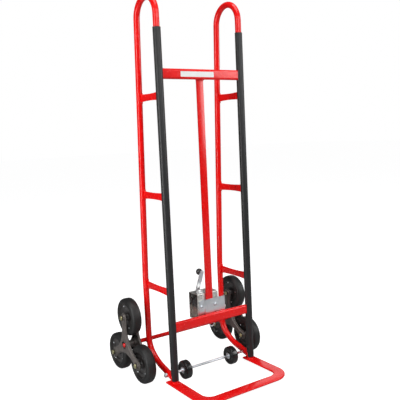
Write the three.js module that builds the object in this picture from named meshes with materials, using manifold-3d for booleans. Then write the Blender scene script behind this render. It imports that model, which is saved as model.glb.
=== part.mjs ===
// Stair climbing trolley: two bent side tubes on a flat steel toe, a strap winder,
// and a pair of three-wheeled clusters that walk up a flight of stairs.
// Millimetres, +Z up, the toe points to -Y.  Heights count from the floor.
// Depths are counted from the front rails, and the last group moves them so that
// the origin lies under the middle of the whole trolley.

import * as THREE from 'three';
import { mergeVertices } from 'three/addons/utils/BufferGeometryUtils.js';
import Module from 'manifold-3d';

const wasm = await Module();
wasm.setup();

// ---------- driving dimensions ----------
const FIT = 0.3;                 // gap left between pieces that touch
const RAIL_X = 193;              // side tubes stand this far from the middle
const TUBE_R = 12.5;
const TUBE_WALL = 2.5;
const TUBE_SIDES = 12;
const BORE_SIDES = 6;
const GRIP_TOP = 1532.5;         // highest point of the bent grips
const GRIP_R = 74.7;             // centre-line radius of the grip bend
const REAR_LEAN = 0.0467;        // the rear leg leans in by this much per unit of height
const KINK_Z = 398;              // below this height the rear leg is upright
const REAR_Y = 198.5;            // rear leg below the kink
const HEEL_Z = 146;              // the heel bend starts here
const HEEL_R = 80;
const HEEL_TURN = 52;            // degrees turned in the tight part of the heel
const SWEEP_R = 200;
const SWEEP_TURN = 76;           // degrees turned at the end of the wide part
const TOE_BOTTOM = 5;
const TOE_TOP = 12;
const TOE_W = 46;
const TOE_OUT_X = 219;
const TOE_FRONT = -242;
const TOE_REAR = 29;
const TOE_CORNER = 82;
const SLEEVE_BOTTOM = 20;
const SLEEVE_TOP = 1395;
const BAR_H = 40;                // cross bars: height and depth
const BAR_D = 18;
const BAR_Y = 3;
const BAR_Z = { upper: 1224.5, lower: 234.5 };
const BRACKET_Z = { upper: 1143, middle: 755.5, lower: 377.5 };
const AXLE_R = 8.5;
const AXLE_Y = 217.4;
const AXLE_Z = 131;
const WHEEL_R = 78;              // climbing wheels
const WHEEL_W = 42;
const WHEEL_ORBIT = 117;         // wheel bolts sit this far from the main axle
const WHEEL_X = 270;             // middle of the wheels
const ROD_R = 5;                 // axle rod of the heel wheels
const ROD_Y = 40;
const ROD_Z = 32.5;
const HEEL_WHEEL_R = 38;
const HEEL_WHEEL_W = 29;
const HEEL_WHEEL_X = 117;
const BOX = { x: -5, width: 102, front: 18, depth: 64, bottom: 231, top: 340, wall: 2 };
const SPOOL_X = -18;
const SPOOL_Z = 292;

const DEG = Math.PI / 180;
const WHEEL_REAR = AXLE_Y + WHEEL_ORBIT * Math.sin(60 * DEG) + WHEEL_R;
const MIDDLE_Y = (TOE_FRONT + WHEEL_REAR) / 2;
const FLOOR_Z = ROD_Z - HEEL_WHEEL_R;   // the rollers and the lower climbing wheels stand on it
const GRIP_Z = GRIP_TOP - TUBE_R - GRIP_R;

// ---------- materials ----------
function finish(color, roughness, metalness) {
  return () => new THREE.MeshStandardMaterial({ color, roughness, metalness });
}

const redPaint = finish(0xd80c0a, 0.32, 0.0);
const blackVinyl = finish(0x1b1d20, 0.5, 0.0);
const blackRubber = finish(0x151516, 0.7, 0.0);
const blackRim = finish(0x1a1918, 0.45, 0.1);
const darkCasting = finish(0x3a3633, 0.5, 0.4);
const blackKnob = finish(0x101011, 0.25, 0.0);
const webbing = finish(0x141416, 0.85, 0.0);
const brightZinc = finish(0xb4bcc2, 0.35, 0.9);
const yellowZinc = finish(0xb9a86c, 0.35, 0.9);
const galvanised = finish(0xb9b8ae, 0.4, 0.85);

// ---------- solids ----------
// A closed three.js geometry as a solid: shared vertices merged, flat triangles dropped.
function solid(geometry) {
  const bare = geometry.clone();
  bare.deleteAttribute('normal');
  bare.deleteAttribute('uv');
  const merged = mergeVertices(bare, 1e-4);
  const corners = merged.index.array;
  const kept = [];
  for (let i = 0; i < corners.length; i += 3) {
    const [a, b, c] = corners.slice(i, i + 3);
    if (a !== b && b !== c && c !== a) kept.push(a, b, c);
  }
  return new wasm.Manifold(new wasm.Mesh({
    numProp: 3,
    vertProperties: new Float32Array(merged.attributes.position.array),
    triVerts: new Uint32Array(kept),
  }));
}

function geometryOf(body) {
  const data = body.getMesh();
  const geometry = new THREE.BufferGeometry();
  geometry.setAttribute('position', new THREE.BufferAttribute(new Float32Array(data.vertProperties), 3));
  geometry.setIndex(new THREE.BufferAttribute(new Uint32Array(data.triVerts), 1));
  geometry.computeVertexNormals();
  return geometry;
}

function piece(name, body, material) {
  const mesh = new THREE.Mesh(geometryOf(body), material());
  mesh.name = name;
  return mesh;
}

function extruded(shape, depth) {
  return new THREE.ExtrudeGeometry(shape, { depth, bevelEnabled: false, curveSegments: 6 });
}

function outline(points) {
  return new THREE.Shape(points.map(([u, v]) => new THREE.Vector2(u, v)));
}

// Points of an arc from one angle to another, in degrees.
function arc(u, v, radius, from, to, steps) {
  const points = [];
  for (let i = 0; i <= steps; i += 1) {
    const a = (from + (to - from) * i / steps) * DEG;
    points.push([u + radius * Math.cos(a), v + radius * Math.sin(a)]);
  }
  return points;
}

// The corners of a regular polygon about the origin.
function ring(radius, sides) {
  return arc(0, 0, radius, 0, 360 - 360 / sides, sides - 1);
}

// A rectangle with round corners, centred on (u, v).
function roundedRectangle(u, v, width, height, radius) {
  const du = width / 2 - radius;
  const dv = height / 2 - radius;
  return [
    ...arc(u + du, v + dv, radius, 0, 90, 2),
    ...arc(u - du, v + dv, radius, 90, 180, 2),
    ...arc(u - du, v - dv, radius, 180, 270, 2),
    ...arc(u + du, v - dv, radius, 270, 360, 2),
  ];
}

// An outline drawn in Y and Z, extruded along X between two stations.
function alongX(shape, x0, x1) {
  const geometry = extruded(shape, x1 - x0);
  const turn = new THREE.Matrix4().makeBasis(
    new THREE.Vector3(0, 1, 0), new THREE.Vector3(0, 0, 1), new THREE.Vector3(1, 0, 0));
  return solid(geometry.applyMatrix4(turn).translate(x0, 0, 0));
}

// An outline drawn in X and Y, extruded upwards.
function alongZ(shape, z0, z1) {
  return solid(extruded(shape, z1 - z0).translate(0, 0, z0));
}

// A turned piece about the X axis.  The profile is a list of [station, radius].
function turnedX(profile, x, y, z, segments) {
  const points = profile.map(([station, radius]) => new THREE.Vector2(radius, station));
  const geometry = new THREE.LatheGeometry(points, segments);
  return solid(geometry.rotateZ(-Math.PI / 2).translate(x, y, z));
}

// A turned piece about the Y axis.
function turnedY(profile, x, y, z, segments) {
  const points = profile.map(([station, radius]) => new THREE.Vector2(radius, station));
  return solid(new THREE.LatheGeometry(points, segments).translate(x, y, z));
}

function rodX(x0, x1, y, z, radius, segments) {
  return turnedX([[x0, 0], [x0, radius], [x1, radius], [x1, 0]], 0, y, z, segments);
}

function rodY(y0, y1, x, z, radius, segments) {
  return turnedY([[y0, 0], [y0, radius], [y1, radius], [y1, 0]], x, 0, z, segments);
}

function block(x0, x1, y0, y1, z0, z1) {
  const geometry = new THREE.BoxGeometry(x1 - x0, y1 - y0, z1 - z0);
  return solid(geometry.translate((x0 + x1) / 2, (y0 + y1) / 2, (z0 + z1) / 2));
}

// ---------- side tubes ----------
// A route through fixed stations, one ring of the tube to each.
class Route extends THREE.Curve {
  constructor(points) {
    super();
    this.points = points;
  }

  getPoint(t, target = new THREE.Vector3()) {
    const place = t * (this.points.length - 1);
    const i = Math.min(Math.floor(place + 1e-9), this.points.length - 2);
    return target.lerpVectors(this.points[i], this.points[i + 1], place - i);
  }

  getPointAt(u, target) {
    return this.getPoint(u, target);
  }

  getTangentAt(u, target = new THREE.Vector3()) {
    const last = this.points.length - 1;
    const i = Math.round(u * last);
    const before = this.points[Math.max(i - 1, 0)];
    const here = this.points[i];
    const after = this.points[Math.min(i + 1, last)];
    const into = here.clone().sub(before).normalize();
    const out = after.clone().sub(here).normalize();
    return target.copy(into).add(out).normalize();
  }
}

function sweptTube(stations, x) {
  const route = new Route(stations.map(([y, z]) => new THREE.Vector3(x, y, z)));
  const section = outline(ring(TUBE_R, TUBE_SIDES));
  section.holes.push(outline(ring(TUBE_R - TUBE_WALL, BORE_SIDES)));
  const steps = stations.length - 1;
  return solid(new THREE.ExtrudeGeometry(section, { extrudePath: route, steps, bevelEnabled: false }));
}

// Depth of the rear leg's centre line at a height above the heel.
function rearLegY(z) {
  return z > KINK_Z ? REAR_Y - REAR_LEAN * (z - KINK_Z) : REAR_Y;
}

function heelStations() {
  const tight = arc(REAR_Y - HEEL_R, HEEL_Z, HEEL_R, 0, -HEEL_TURN, 5);
  const [y, z] = tight.at(-1);
  const wide = arc(
    y - SWEEP_R * Math.cos(HEEL_TURN * DEG), z + SWEEP_R * Math.sin(HEEL_TURN * DEG),
    SWEEP_R, -HEEL_TURN, -SWEEP_TURN, 3).slice(1);
  const [endY, endZ] = wide.at(-1);
  return [...tight, ...wide, [0, endZ - endY / Math.tan(SWEEP_TURN * DEG)]];
}

function sideTube(side) {
  const x = side * RAIL_X;
  const lean = Math.atan(REAR_LEAN) / DEG;
  const grip = arc(GRIP_R, GRIP_Z, GRIP_R, 180, lean, 10);
  const split = (KINK_Z + HEEL_Z) / 2;
  const upper = [[0, TOE_TOP + FIT], ...grip, [REAR_Y, KINK_Z], [REAR_Y, split]];
  const rail = solid(new THREE.CylinderGeometry(TUBE_R - 1, TUBE_R - 1, 200, 24)
    .rotateX(Math.PI / 2).translate(x, 0, 0));
  const heel = sweptTube([[REAR_Y, split], ...heelStations()], x).subtract(rail);
  const axleSeat = rodX(x - 30, x + 30, AXLE_Y, AXLE_Z, AXLE_R + FIT, 24);
  const rodHole = rodX(x - 30, x + 30, ROD_Y, ROD_Z, ROD_R + FIT, 16);
  return sweptTube(upper, x).add(heel).subtract(axleSeat).subtract(rodHole);
}

// A round split cover that clips over the front of a rail.
// Its edges are cut away round the cross bars and round the heel.
function railSleeve(side) {
  const outer = 15.5;
  const inner = 12.9;
  const back = 5;
  const outerLip = Math.asin(back / outer) / DEG;
  const innerLip = Math.asin(back / inner) / DEG;
  const section = outline([
    ...arc(0, 0, outer, outerLip, -180 - outerLip, 14),
    ...arc(0, 0, inner, 180 - innerLip, 360 + innerLip, 12),
  ]);
  const heelNotch = block(-20, 20, -1.5, 20, 0, 42);
  let sleeve = alongZ(section, SLEEVE_BOTTOM, SLEEVE_TOP).subtract(heelNotch);
  for (const z of Object.values(BAR_Z)) {
    const reach = side > 0 ? [-20, -5] : [5, 20];
    const notch = BAR_H / 2 + FIT;
    sleeve = sleeve.subtract(block(...reach, BAR_Y - BAR_D / 2 - FIT, 20, z - notch, z + notch));
  }
  return sleeve.translate(side * RAIL_X, 0, 0);
}

// A waisted plate that ties the rear leg to the front rail.
function sideBracket(side, z) {
  const endHalf = 16.5;
  const dip = 3.5;
  const thickness = 5;
  const y0 = TUBE_R + FIT;
  const y1 = (height) => rearLegY(height) - TUBE_R - FIT;
  const top = [];
  const bottom = [];
  const steps = 8;
  for (let i = 0; i <= steps; i += 1) {
    const t = i / steps;
    const sag = dip * Math.sin(Math.PI * t) ** 0.8;
    top.push([y0 + (y1(z + endHalf) - y0) * t, z + endHalf - sag]);
    bottom.unshift([y0 + (y1(z - endHalf) - y0) * t, z - endHalf + sag]);
  }
  const x = side * RAIL_X;
  return alongX(outline([...top, ...bottom]), x - thickness / 2, x + thickness / 2);
}

function crossBar(z) {
  const wall = 2;
  const corner = 4;
  const half = RAIL_X - TUBE_R - FIT;
  const shape = outline(roundedRectangle(BAR_Y, z, BAR_D, BAR_H, corner));
  shape.holes.push(outline(roundedRectangle(BAR_Y, z, BAR_D - 2 * wall, BAR_H - 2 * wall, corner - wall)));
  return alongX(shape, -half, half);
}

function centrePost() {
  const y0 = BAR_Y + BAR_D / 2 + FIT;
  return block(-16.5, 16.5, y0, y0 + 5, BAR_Z.lower - 14, BAR_Z.upper + 14);
}

// A flat bar bent into a U that hangs just above the floor.
function toeBar() {
  const innerX = TOE_OUT_X - TOE_W;
  const innerCorner = TOE_CORNER - TOE_W;
  const y = TOE_FRONT + TOE_CORNER;
  const x = TOE_OUT_X - TOE_CORNER;
  return alongZ(outline([
    [TOE_OUT_X, TOE_REAR],
    [innerX, TOE_REAR],
    ...arc(x, y, innerCorner, 0, -90, 5),
    ...arc(-x, y, innerCorner, -90, -180, 5),
    [-innerX, TOE_REAR],
    [-TOE_OUT_X, TOE_REAR],
    ...arc(-x, y, TOE_CORNER, 180, 270, 9),
    ...arc(x, y, TOE_CORNER, -90, 0, 9),
  ]), TOE_BOTTOM, TOE_TOP);
}

// ---------- axles ----------
const SPIDER_OUT = 303;          // outer face of the outer spider
const AXLE_HALF = 304;

function mainAxle() {
  return rodX(-AXLE_HALF, AXLE_HALF, AXLE_Y, AXLE_Z, AXLE_R, 24);
}

function axleRetainer(side) {
  const near = SPIDER_OUT - 7;
  const profile = [[near, AXLE_R + FIT], [near, 14], [near + 3, 14], [near + 3, AXLE_R + FIT], [near, AXLE_R + FIT]];
  const washer = turnedX(profile, 0, AXLE_Y, AXLE_Z, 16);
  return side > 0 ? washer : washer.mirror([1, 0, 0]);
}

function hexNut(x0, x1, y, z, across, bore) {
  const radius = across / Math.sqrt(3);
  const nut = turnedX([[x0, 0], [x0, radius], [x1, radius], [x1, 0]], 0, y, z, 6);
  return nut.subtract(rodX(x0 - 1, x1 + 1, y, z, bore, 16));
}

function heelRod() {
  return rodX(-218, 218, ROD_Y, ROD_Z, ROD_R, 16);
}

function heelRodNut(side) {
  const x0 = RAIL_X + TUBE_R + FIT;
  const nut = hexNut(x0, x0 + 8, ROD_Y, ROD_Z, 17, ROD_R + FIT);
  return side > 0 ? nut : nut.mirror([1, 0, 0]);
}

function heelWheel(side) {
  const h = HEEL_WHEEL_W / 2;
  const r = HEEL_WHEEL_R;
  const profile = [
    [-h, 8.6], [-h, 13], [-h + 3, r - 9], [-h, r - 4], [-h + 4, r],
    [h - 4, r], [h, r - 4], [h - 3, r - 9], [h, 13], [h, 8.6], [-h, 8.6],
  ];
  return turnedX(profile, side * HEEL_WHEEL_X, ROD_Y, ROD_Z, 16);
}

function heelBush(side) {
  const h = HEEL_WHEEL_W / 2;
  const bore = ROD_R + 0.4;
  const profile = [
    [-h - 5, bore], [-h - 5, 9], [-h - FIT, 9], [-h - FIT, 8], [h + 5, 8], [h + 5, bore], [-h - 5, bore],
  ];
  return turnedX(profile, side * HEEL_WHEEL_X, ROD_Y, ROD_Z, 12);
}

// ---------- wheel clusters ----------
const SPIDER_DEPTH = 11;
const SPIDER_WEB = 4;
const ARM_END_R = 20;
const WAIST_R = 38;
const BOLT_R = 5;

// The three-armed outline: round arm ends joined by three wide hollows.
// An inset outline lies inside it by the same distance all round.
function spiderOutline(inset) {
  const gap = ARM_END_R - WAIST_R;
  const away = (WHEEL_ORBIT ** 2 - gap ** 2) / (WHEEL_ORBIT + 2 * gap);
  const hollowR = away - WAIST_R;
  const reach = Math.atan2(away * Math.sin(60 * DEG), away * Math.cos(60 * DEG) - WHEEL_ORBIT) / DEG;
  const points = [];
  for (const arm of [90, 210, 330]) {
    const end = arc(
      WHEEL_ORBIT * Math.cos(arm * DEG), WHEEL_ORBIT * Math.sin(arm * DEG),
      ARM_END_R - inset, arm - reach, arm + reach, 6);
    const hollow = arc(
      away * Math.cos((arm + 60) * DEG), away * Math.sin((arm + 60) * DEG),
      hollowR + inset, arm + reach + 180, arm - reach + 300, 6);
    points.push(...end, ...hollow.slice(1, -1));
  }
  return points;
}

// A dished casting, open towards the wheels, with bosses at the hub and at the wheel bolts.
function spider(near) {
  const far = near + SPIDER_DEPTH;
  const wall = 4;
  let body = alongX(outline(spiderOutline(0)), near, far);
  let pocket = alongX(outline(spiderOutline(wall)), near - 1, far - SPIDER_WEB);
  pocket = pocket.subtract(rodX(near - 2, far, 0, 0, 24, 16));
  for (const [y, z] of boltPlaces()) {
    pocket = pocket.subtract(rodX(near - 2, far, y, z, 10.5, 8));
    body = body.subtract(rodX(near - 2, far + 2, y, z, BOLT_R + 2 * FIT, 8));
  }
  return body.subtract(pocket).subtract(rodX(near - 2, far + 2, 0, 0, AXLE_R + 0.6, 16));
}

function boltPlaces() {
  return arc(0, 0, WHEEL_ORBIT, 90, 330, 2);
}

const WHEEL_NEAR = WHEEL_X - WHEEL_W / 2;
const WHEEL_FAR = WHEEL_X + WHEEL_W / 2;
const SPIDER_GAP = 1;            // side play between wheels and spiders
const OUTER_NEAR = WHEEL_FAR + SPIDER_GAP;
const INNER_NEAR = WHEEL_NEAR - SPIDER_GAP;

function outerSpider() {
  const counterbore = rodX(OUTER_NEAR + SPIDER_WEB, OUTER_NEAR + SPIDER_DEPTH + 2, 0, 0, 17, 16);
  return spider(OUTER_NEAR).subtract(counterbore);
}

function innerSpider() {
  return spider(0).mirror([1, 0, 0]).translate(INNER_NEAR, 0, 0);
}

function hubTube() {
  const x0 = INNER_NEAR + FIT;
  const x1 = OUTER_NEAR - FIT;
  const bore = AXLE_R + 0.6;
  return turnedX([[x0, bore], [x0, 17], [x1, 17], [x1, bore], [x0, bore]], 0, 0, 0, 16);
}

function wheelBolt(y, z) {
  const headIn = INNER_NEAR - SPIDER_DEPTH - FIT;
  const headOut = OUTER_NEAR + SPIDER_DEPTH + FIT;
  const radius = 17 / Math.sqrt(3);
  return turnedX([
    [headIn - 7, 0], [headIn - 7, radius], [headIn, radius], [headIn, BOLT_R], [headOut, BOLT_R],
    [headOut, radius], [headOut + 8, radius], [headOut + 8, 0],
  ], 0, y, z, 8);
}

function tyre(y, z) {
  const h = WHEEL_W / 2;
  const r = WHEEL_R;
  const seat = 55;
  return turnedX([
    [-h, seat], [-h, r - 9], [-h + 3, r - 3], [-h + 9, r],
    [h - 9, r], [h - 3, r - 3], [h, r - 9], [h, seat], [-h, seat],
  ], WHEEL_X, y, z, 24);
}

function rim(y, z) {
  const h = WHEEL_W / 2;
  const seat = 55 * Math.cos(Math.PI / 24) - FIT;
  const bore = BOLT_R + 0.4;
  return turnedX([
    [-h, bore], [-h, 13], [-5, 20], [-5, 42], [-h + 4, seat],
    [h - 4, seat], [5, 42], [5, 20], [h, 13], [h, bore], [-h, bore],
  ], WHEEL_X, y, z, 16);
}

function cluster(side, hand) {
  const group = new THREE.Group();
  const parts = [
    ['outer_spider', outerSpider(), darkCasting],
    ['inner_spider', innerSpider(), darkCasting],
    ['hub_tube', hubTube(), blackRim],
  ];
  boltPlaces().forEach(([y, z], i) => {
    parts.push([`wheel_bolt_${i + 1}`, wheelBolt(y, z), yellowZinc]);
    parts.push([`tyre_${i + 1}`, tyre(y, z), blackRubber]);
    parts.push([`rim_${i + 1}`, rim(y, z), blackRim]);
  });
  for (const [name, body, material] of parts) {
    const handed = side > 0 ? body : body.mirror([1, 0, 0]);
    group.add(piece(`${hand}_${name}`, handed, material));
  }
  group.position.set(0, AXLE_Y, AXLE_Z);
  return group;
}

// ---------- strap winder ----------
const PLATE_T = 2.3;
const PLATE_BOLTS = { left: [-38, 285], right: [27, 286] };
const BOX_BACK = BOX.front + BOX.depth;
const RATCHET_R = 22;
const RATCHET_ROOT = 17;
const RATCHET_TEETH = 12;
const CRANK_LENGTH = 121;
const CRANK_ANGLE = 71;          // degrees above the horizontal
const PAWL_PIN = [-12, 324];

// A box section, open at both ends where the strap leaves.
function winderHousing() {
  const midY = BOX.front + BOX.depth / 2;
  const midZ = (BOX.bottom + BOX.top) / 2;
  const height = BOX.top - BOX.bottom;
  const shape = outline(roundedRectangle(midY, midZ, BOX.depth, height, 3));
  const inner = roundedRectangle(midY, midZ, BOX.depth - 2 * BOX.wall, height - 2 * BOX.wall, 1.2);
  shape.holes.push(outline(inner));
  let box = alongX(shape, BOX.x - BOX.width / 2, BOX.x + BOX.width / 2);
  box = box.subtract(rodY(BOX.front - 1, BOX_BACK + 1, SPOOL_X, SPOOL_Z, 8.5, 20));
  for (const [x, z] of Object.values(PLATE_BOLTS)) {
    box = box.subtract(rodY(BOX.front - 1, BOX.front + 5, x, z, 4.4, 12));
  }
  const [pinX, pinZ] = PAWL_PIN;
  return box.subtract(rodY(BOX_BACK - 5, BOX_BACK + 1, pinX, pinZ, 4.3, 12));
}

// A plate bent forward over the post, with its right end turned back.
function winderPlate() {
  const y0 = 12 - PLATE_T;
  const tab = BOX.front - FIT - PLATE_T;
  const shape = outline([
    [-50, tab], [-24, tab], [-19, y0], ...arc(72, y0 + 7, 7, -90, 0, 4),
    [79, 24], [79 - PLATE_T, 24], ...arc(72, y0 + 7, 7 - PLATE_T, 0, -90, 4),
    [-18, y0 + PLATE_T], [-23, tab + PLATE_T], [-50, tab + PLATE_T],
  ]);
  let plate = alongZ(shape, BAR_Z.lower + BAR_H / 2 + FIT, 314);
  for (const [x, z] of Object.values(PLATE_BOLTS)) {
    plate = plate.subtract(rodY(0, 22, x, z, 4.4, 12));
  }
  return plate;
}

// A bolt through the plate and the housing, with its nut inside.
function plateBolt(hand) {
  const [x, z] = PLATE_BOLTS[hand];
  const seat = (hand === 'left' ? BOX.front - FIT - PLATE_T : 12 - PLATE_T) - FIT;
  const nut = BOX.front + BOX.wall + FIT;
  return turnedY([
    [seat - 5, 0], [seat - 5, 7.5], [seat, 7.5], [seat, 4], [nut, 4], [nut, 7.5], [nut + 5, 7.5], [nut + 5, 0],
  ], x, 0, z, 10);
}

// A half ring under the lower cross bar that takes the strap's hook.
function anchorEye() {
  const z = BAR_Z.lower - BAR_H / 2 - FIT;
  const bend = arc(0, z - 3, 11.5, 180, 360, 8);
  const stations = [[-11.5, z], ...bend, [11.5, z]];
  const route = new Route(stations.map(([x, v]) => new THREE.Vector3(x, BAR_Y, v)));
  const section = outline(ring(2.5, 6));
  const steps = stations.length - 1;
  return solid(new THREE.ExtrudeGeometry(section, { extrudePath: route, steps, bevelEnabled: false }));
}

function spoolShaft() {
  const shaft = rodY(BOX.front + 0.4, BOX_BACK + 9.5, SPOOL_X, SPOOL_Z, 8, 20);
  const square = block(SPOOL_X - 5, SPOOL_X + 5, BOX_BACK + 9, BOX_BACK + 16, SPOOL_Z - 5, SPOOL_Z + 5);
  return shaft.add(square);
}

function strapRoll() {
  const y0 = BOX.front + 8;
  const y1 = BOX_BACK - 8;
  return turnedY([[y0, 8.3], [y0, 27], [y1, 27], [y1, 8.3], [y0, 8.3]], SPOOL_X, 0, SPOOL_Z, 24);
}

function ratchetWheel() {
  const points = [];
  for (let i = 0; i < RATCHET_TEETH; i += 1) {
    const a = i * 360 / RATCHET_TEETH;
    points.push(arc(0, 0, RATCHET_R, a, a, 1)[0], arc(0, 0, RATCHET_ROOT, a + 5, a + 5, 1)[0]);
  }
  const wheel = extruded(outline(points), 5).rotateX(Math.PI / 2);
  const placed = solid(wheel.translate(SPOOL_X, BOX_BACK + 6.5, SPOOL_Z));
  return placed.subtract(rodY(BOX_BACK, BOX_BACK + 8, SPOOL_X, SPOOL_Z, 8.3, 20));
}

// A flat arm with round ends on the spool's square, tilted a little from upright.
function crankArm() {
  const half = 9.5;
  const bar = outline([...arc(0, 0, half, 90, 270, 6), ...arc(CRANK_LENGTH, 0, half, -90, 90, 6)]);
  const geometry = extruded(bar, 4).rotateX(Math.PI / 2).rotateY(-CRANK_ANGLE * DEG);
  const arm = solid(geometry.translate(SPOOL_X, BOX_BACK + 14, SPOOL_Z));
  const hole = 5 + FIT;
  return arm.subtract(block(
    SPOOL_X - hole, SPOOL_X + hole, BOX_BACK + 8, BOX_BACK + 17, SPOOL_Z - hole, SPOOL_Z + hole));
}

function crankEnd() {
  return [SPOOL_X + CRANK_LENGTH * Math.cos(CRANK_ANGLE * DEG), SPOOL_Z + CRANK_LENGTH * Math.sin(CRANK_ANGLE * DEG)];
}

function crankKnob() {
  const [x, z] = crankEnd();
  const y = BOX_BACK + 14 + FIT;
  const ball = arc(0, 17, 14, -65, 90, 7).map(([radius, station]) => [station, Math.max(radius, 0)]);
  const profile = [[0, 0], [0, 6], ...ball];
  profile[profile.length - 1] = [31, 0];
  return turnedY(profile, x, y, z, 12);
}

// A pawl on its pin above the ratchet, hooked round one tooth and resting on the next.
function pawl() {
  const [x, z] = PAWL_PIN;
  const shape = outline([
    ...arc(x, z, 6, 22, 202, 5),
    [SPOOL_X + 11.8, SPOOL_Z + 21.5],
    [SPOOL_X + 14.7, SPOOL_Z + 11.1],
    [SPOOL_X + 20, SPOOL_Z + 12.3],
    [SPOOL_X + 19, SPOOL_Z + 20],
  ].map(([u, v]) => [u, -v]));
  const plate = solid(extruded(shape, 4).rotateX(-Math.PI / 2).translate(0, BOX_BACK + 2, 0));
  return plate.subtract(rodY(BOX_BACK, BOX_BACK + 8, x, z, 3.35, 12));
}

function pawlPin() {
  const [x, z] = PAWL_PIN;
  return turnedY([
    [BOX_BACK - 4, 0], [BOX_BACK - 4, 4], [BOX_BACK + 0.8, 4], [BOX_BACK + 0.8, 3],
    [BOX_BACK + 7, 3], [BOX_BACK + 7, 5.5], [BOX_BACK + 9, 5.5], [BOX_BACK + 9, 0],
  ], x, 0, z, 10);
}

// ---------- assembly ----------
const trolley = new THREE.Group();
trolley.name = 'stair_climbing_trolley';

for (const [hand, side] of [['left', -1], ['right', 1]]) {
  trolley.add(piece(`${hand}_side_tube`, sideTube(side), redPaint));
  trolley.add(piece(`${hand}_rail_sleeve`, railSleeve(side), blackVinyl));
  for (const [level, z] of Object.entries(BRACKET_Z)) {
    trolley.add(piece(`${hand}_${level}_bracket`, sideBracket(side, z), redPaint));
  }
  trolley.add(piece(`${hand}_axle_retainer`, axleRetainer(side), brightZinc));
  trolley.add(piece(`${hand}_rod_nut`, heelRodNut(side), brightZinc));
  trolley.add(piece(`${hand}_heel_wheel`, heelWheel(side), blackRubber));
  trolley.add(piece(`${hand}_heel_bush`, heelBush(side), brightZinc));
  trolley.add(cluster(side, hand));
}

trolley.add(piece('upper_crossbar', crossBar(BAR_Z.upper), redPaint));
trolley.add(piece('lower_crossbar', crossBar(BAR_Z.lower), redPaint));
trolley.add(piece('centre_post', centrePost(), redPaint));
trolley.add(piece('toe_bar', toeBar(), redPaint));
trolley.add(piece('main_axle', mainAxle(), redPaint));
trolley.add(piece('heel_rod', heelRod(), brightZinc));
trolley.add(piece('anchor_eye', anchorEye(), brightZinc));
trolley.add(piece('winder_housing', winderHousing(), galvanised));
trolley.add(piece('winder_plate', winderPlate(), brightZinc));
trolley.add(piece('left_plate_bolt', plateBolt('left'), brightZinc));
trolley.add(piece('right_plate_bolt', plateBolt('right'), brightZinc));
trolley.add(piece('spool_shaft', spoolShaft(), brightZinc));
trolley.add(piece('strap_roll', strapRoll(), webbing));
trolley.add(piece('ratchet_wheel', ratchetWheel(), brightZinc));
trolley.add(piece('crank_arm', crankArm(), brightZinc));
trolley.add(piece('crank_knob', crankKnob(), blackKnob));
trolley.add(piece('pawl', pawl(), brightZinc));
trolley.add(piece('pawl_pin', pawlPin(), brightZinc));

trolley.position.set(0, -MIDDLE_Y, -FLOOR_Z);

export default trolley;
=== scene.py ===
import math

import bmesh
import bpy
from bpy.props import FloatProperty, FloatVectorProperty, IntProperty, PointerProperty
from mathutils import Matrix, Vector


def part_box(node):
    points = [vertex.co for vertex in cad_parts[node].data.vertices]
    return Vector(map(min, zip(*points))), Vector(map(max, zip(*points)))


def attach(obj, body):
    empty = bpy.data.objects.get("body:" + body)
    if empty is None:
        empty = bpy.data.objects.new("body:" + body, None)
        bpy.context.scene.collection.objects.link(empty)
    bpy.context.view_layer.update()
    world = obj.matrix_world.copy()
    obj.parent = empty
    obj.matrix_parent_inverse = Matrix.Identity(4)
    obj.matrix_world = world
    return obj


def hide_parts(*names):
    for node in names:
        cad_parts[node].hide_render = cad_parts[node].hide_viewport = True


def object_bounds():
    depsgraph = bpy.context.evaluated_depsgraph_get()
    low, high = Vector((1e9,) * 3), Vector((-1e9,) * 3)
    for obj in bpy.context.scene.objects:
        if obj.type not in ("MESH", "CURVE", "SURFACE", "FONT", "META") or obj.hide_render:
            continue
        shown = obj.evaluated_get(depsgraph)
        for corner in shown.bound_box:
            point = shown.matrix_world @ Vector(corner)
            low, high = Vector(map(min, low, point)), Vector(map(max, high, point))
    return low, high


bl_info = {
    "name": "Stair climbing trolley",
    "version": (1, 0, 0),
    "blender": (4, 5, 0),
    "location": "3D View > Sidebar > Trolley",
    "description": "Dresses the packed frame of a stair climbing trolley with finished meshes and paint",
    "category": "Object",
}

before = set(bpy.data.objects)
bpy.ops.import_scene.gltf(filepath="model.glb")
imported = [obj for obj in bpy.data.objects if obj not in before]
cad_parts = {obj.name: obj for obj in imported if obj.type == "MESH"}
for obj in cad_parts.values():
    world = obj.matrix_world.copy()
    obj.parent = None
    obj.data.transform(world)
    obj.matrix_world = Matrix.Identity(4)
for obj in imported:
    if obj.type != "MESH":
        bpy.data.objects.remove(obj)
CAD_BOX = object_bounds()

MM = 0.001
WELD_GAP = 0.3 * MM
X = Vector((1, 0, 0))
Y = Vector((0, 1, 0))
Z = Vector((0, 0, 1))
HANDS = {"left": -1, "right": 1}
LEVELS = ("upper", "middle", "lower")
WHEELS = (1, 2, 3)


# ---------- places taken from the frame ----------
def middle(node):
    low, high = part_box(node)
    return (low + high) / 2


def extent(node):
    low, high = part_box(node)
    return high - low


# ---------- modelling by hand ----------
def deselect_all():
    if bpy.context.mode != "OBJECT":
        bpy.ops.object.mode_set(mode="OBJECT")
    bpy.ops.object.select_all(action="DESELECT")


def only(piece):
    """Selects this piece alone and makes it the active one."""
    deselect_all()
    piece.select_set(True)
    bpy.context.view_layer.objects.active = piece


def everything():
    bpy.ops.mesh.select_all(action="SELECT")


def edit(piece):
    only(piece)
    bpy.ops.object.mode_set(mode="EDIT")
    bpy.ops.mesh.select_mode(type="VERT")
    everything()


def extrude(step):
    bpy.ops.mesh.extrude_region_move(TRANSFORM_OT_translate={"value": step})


def discard(*pieces):
    for piece in pieces:
        only(piece)
        bpy.ops.object.delete()


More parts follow.
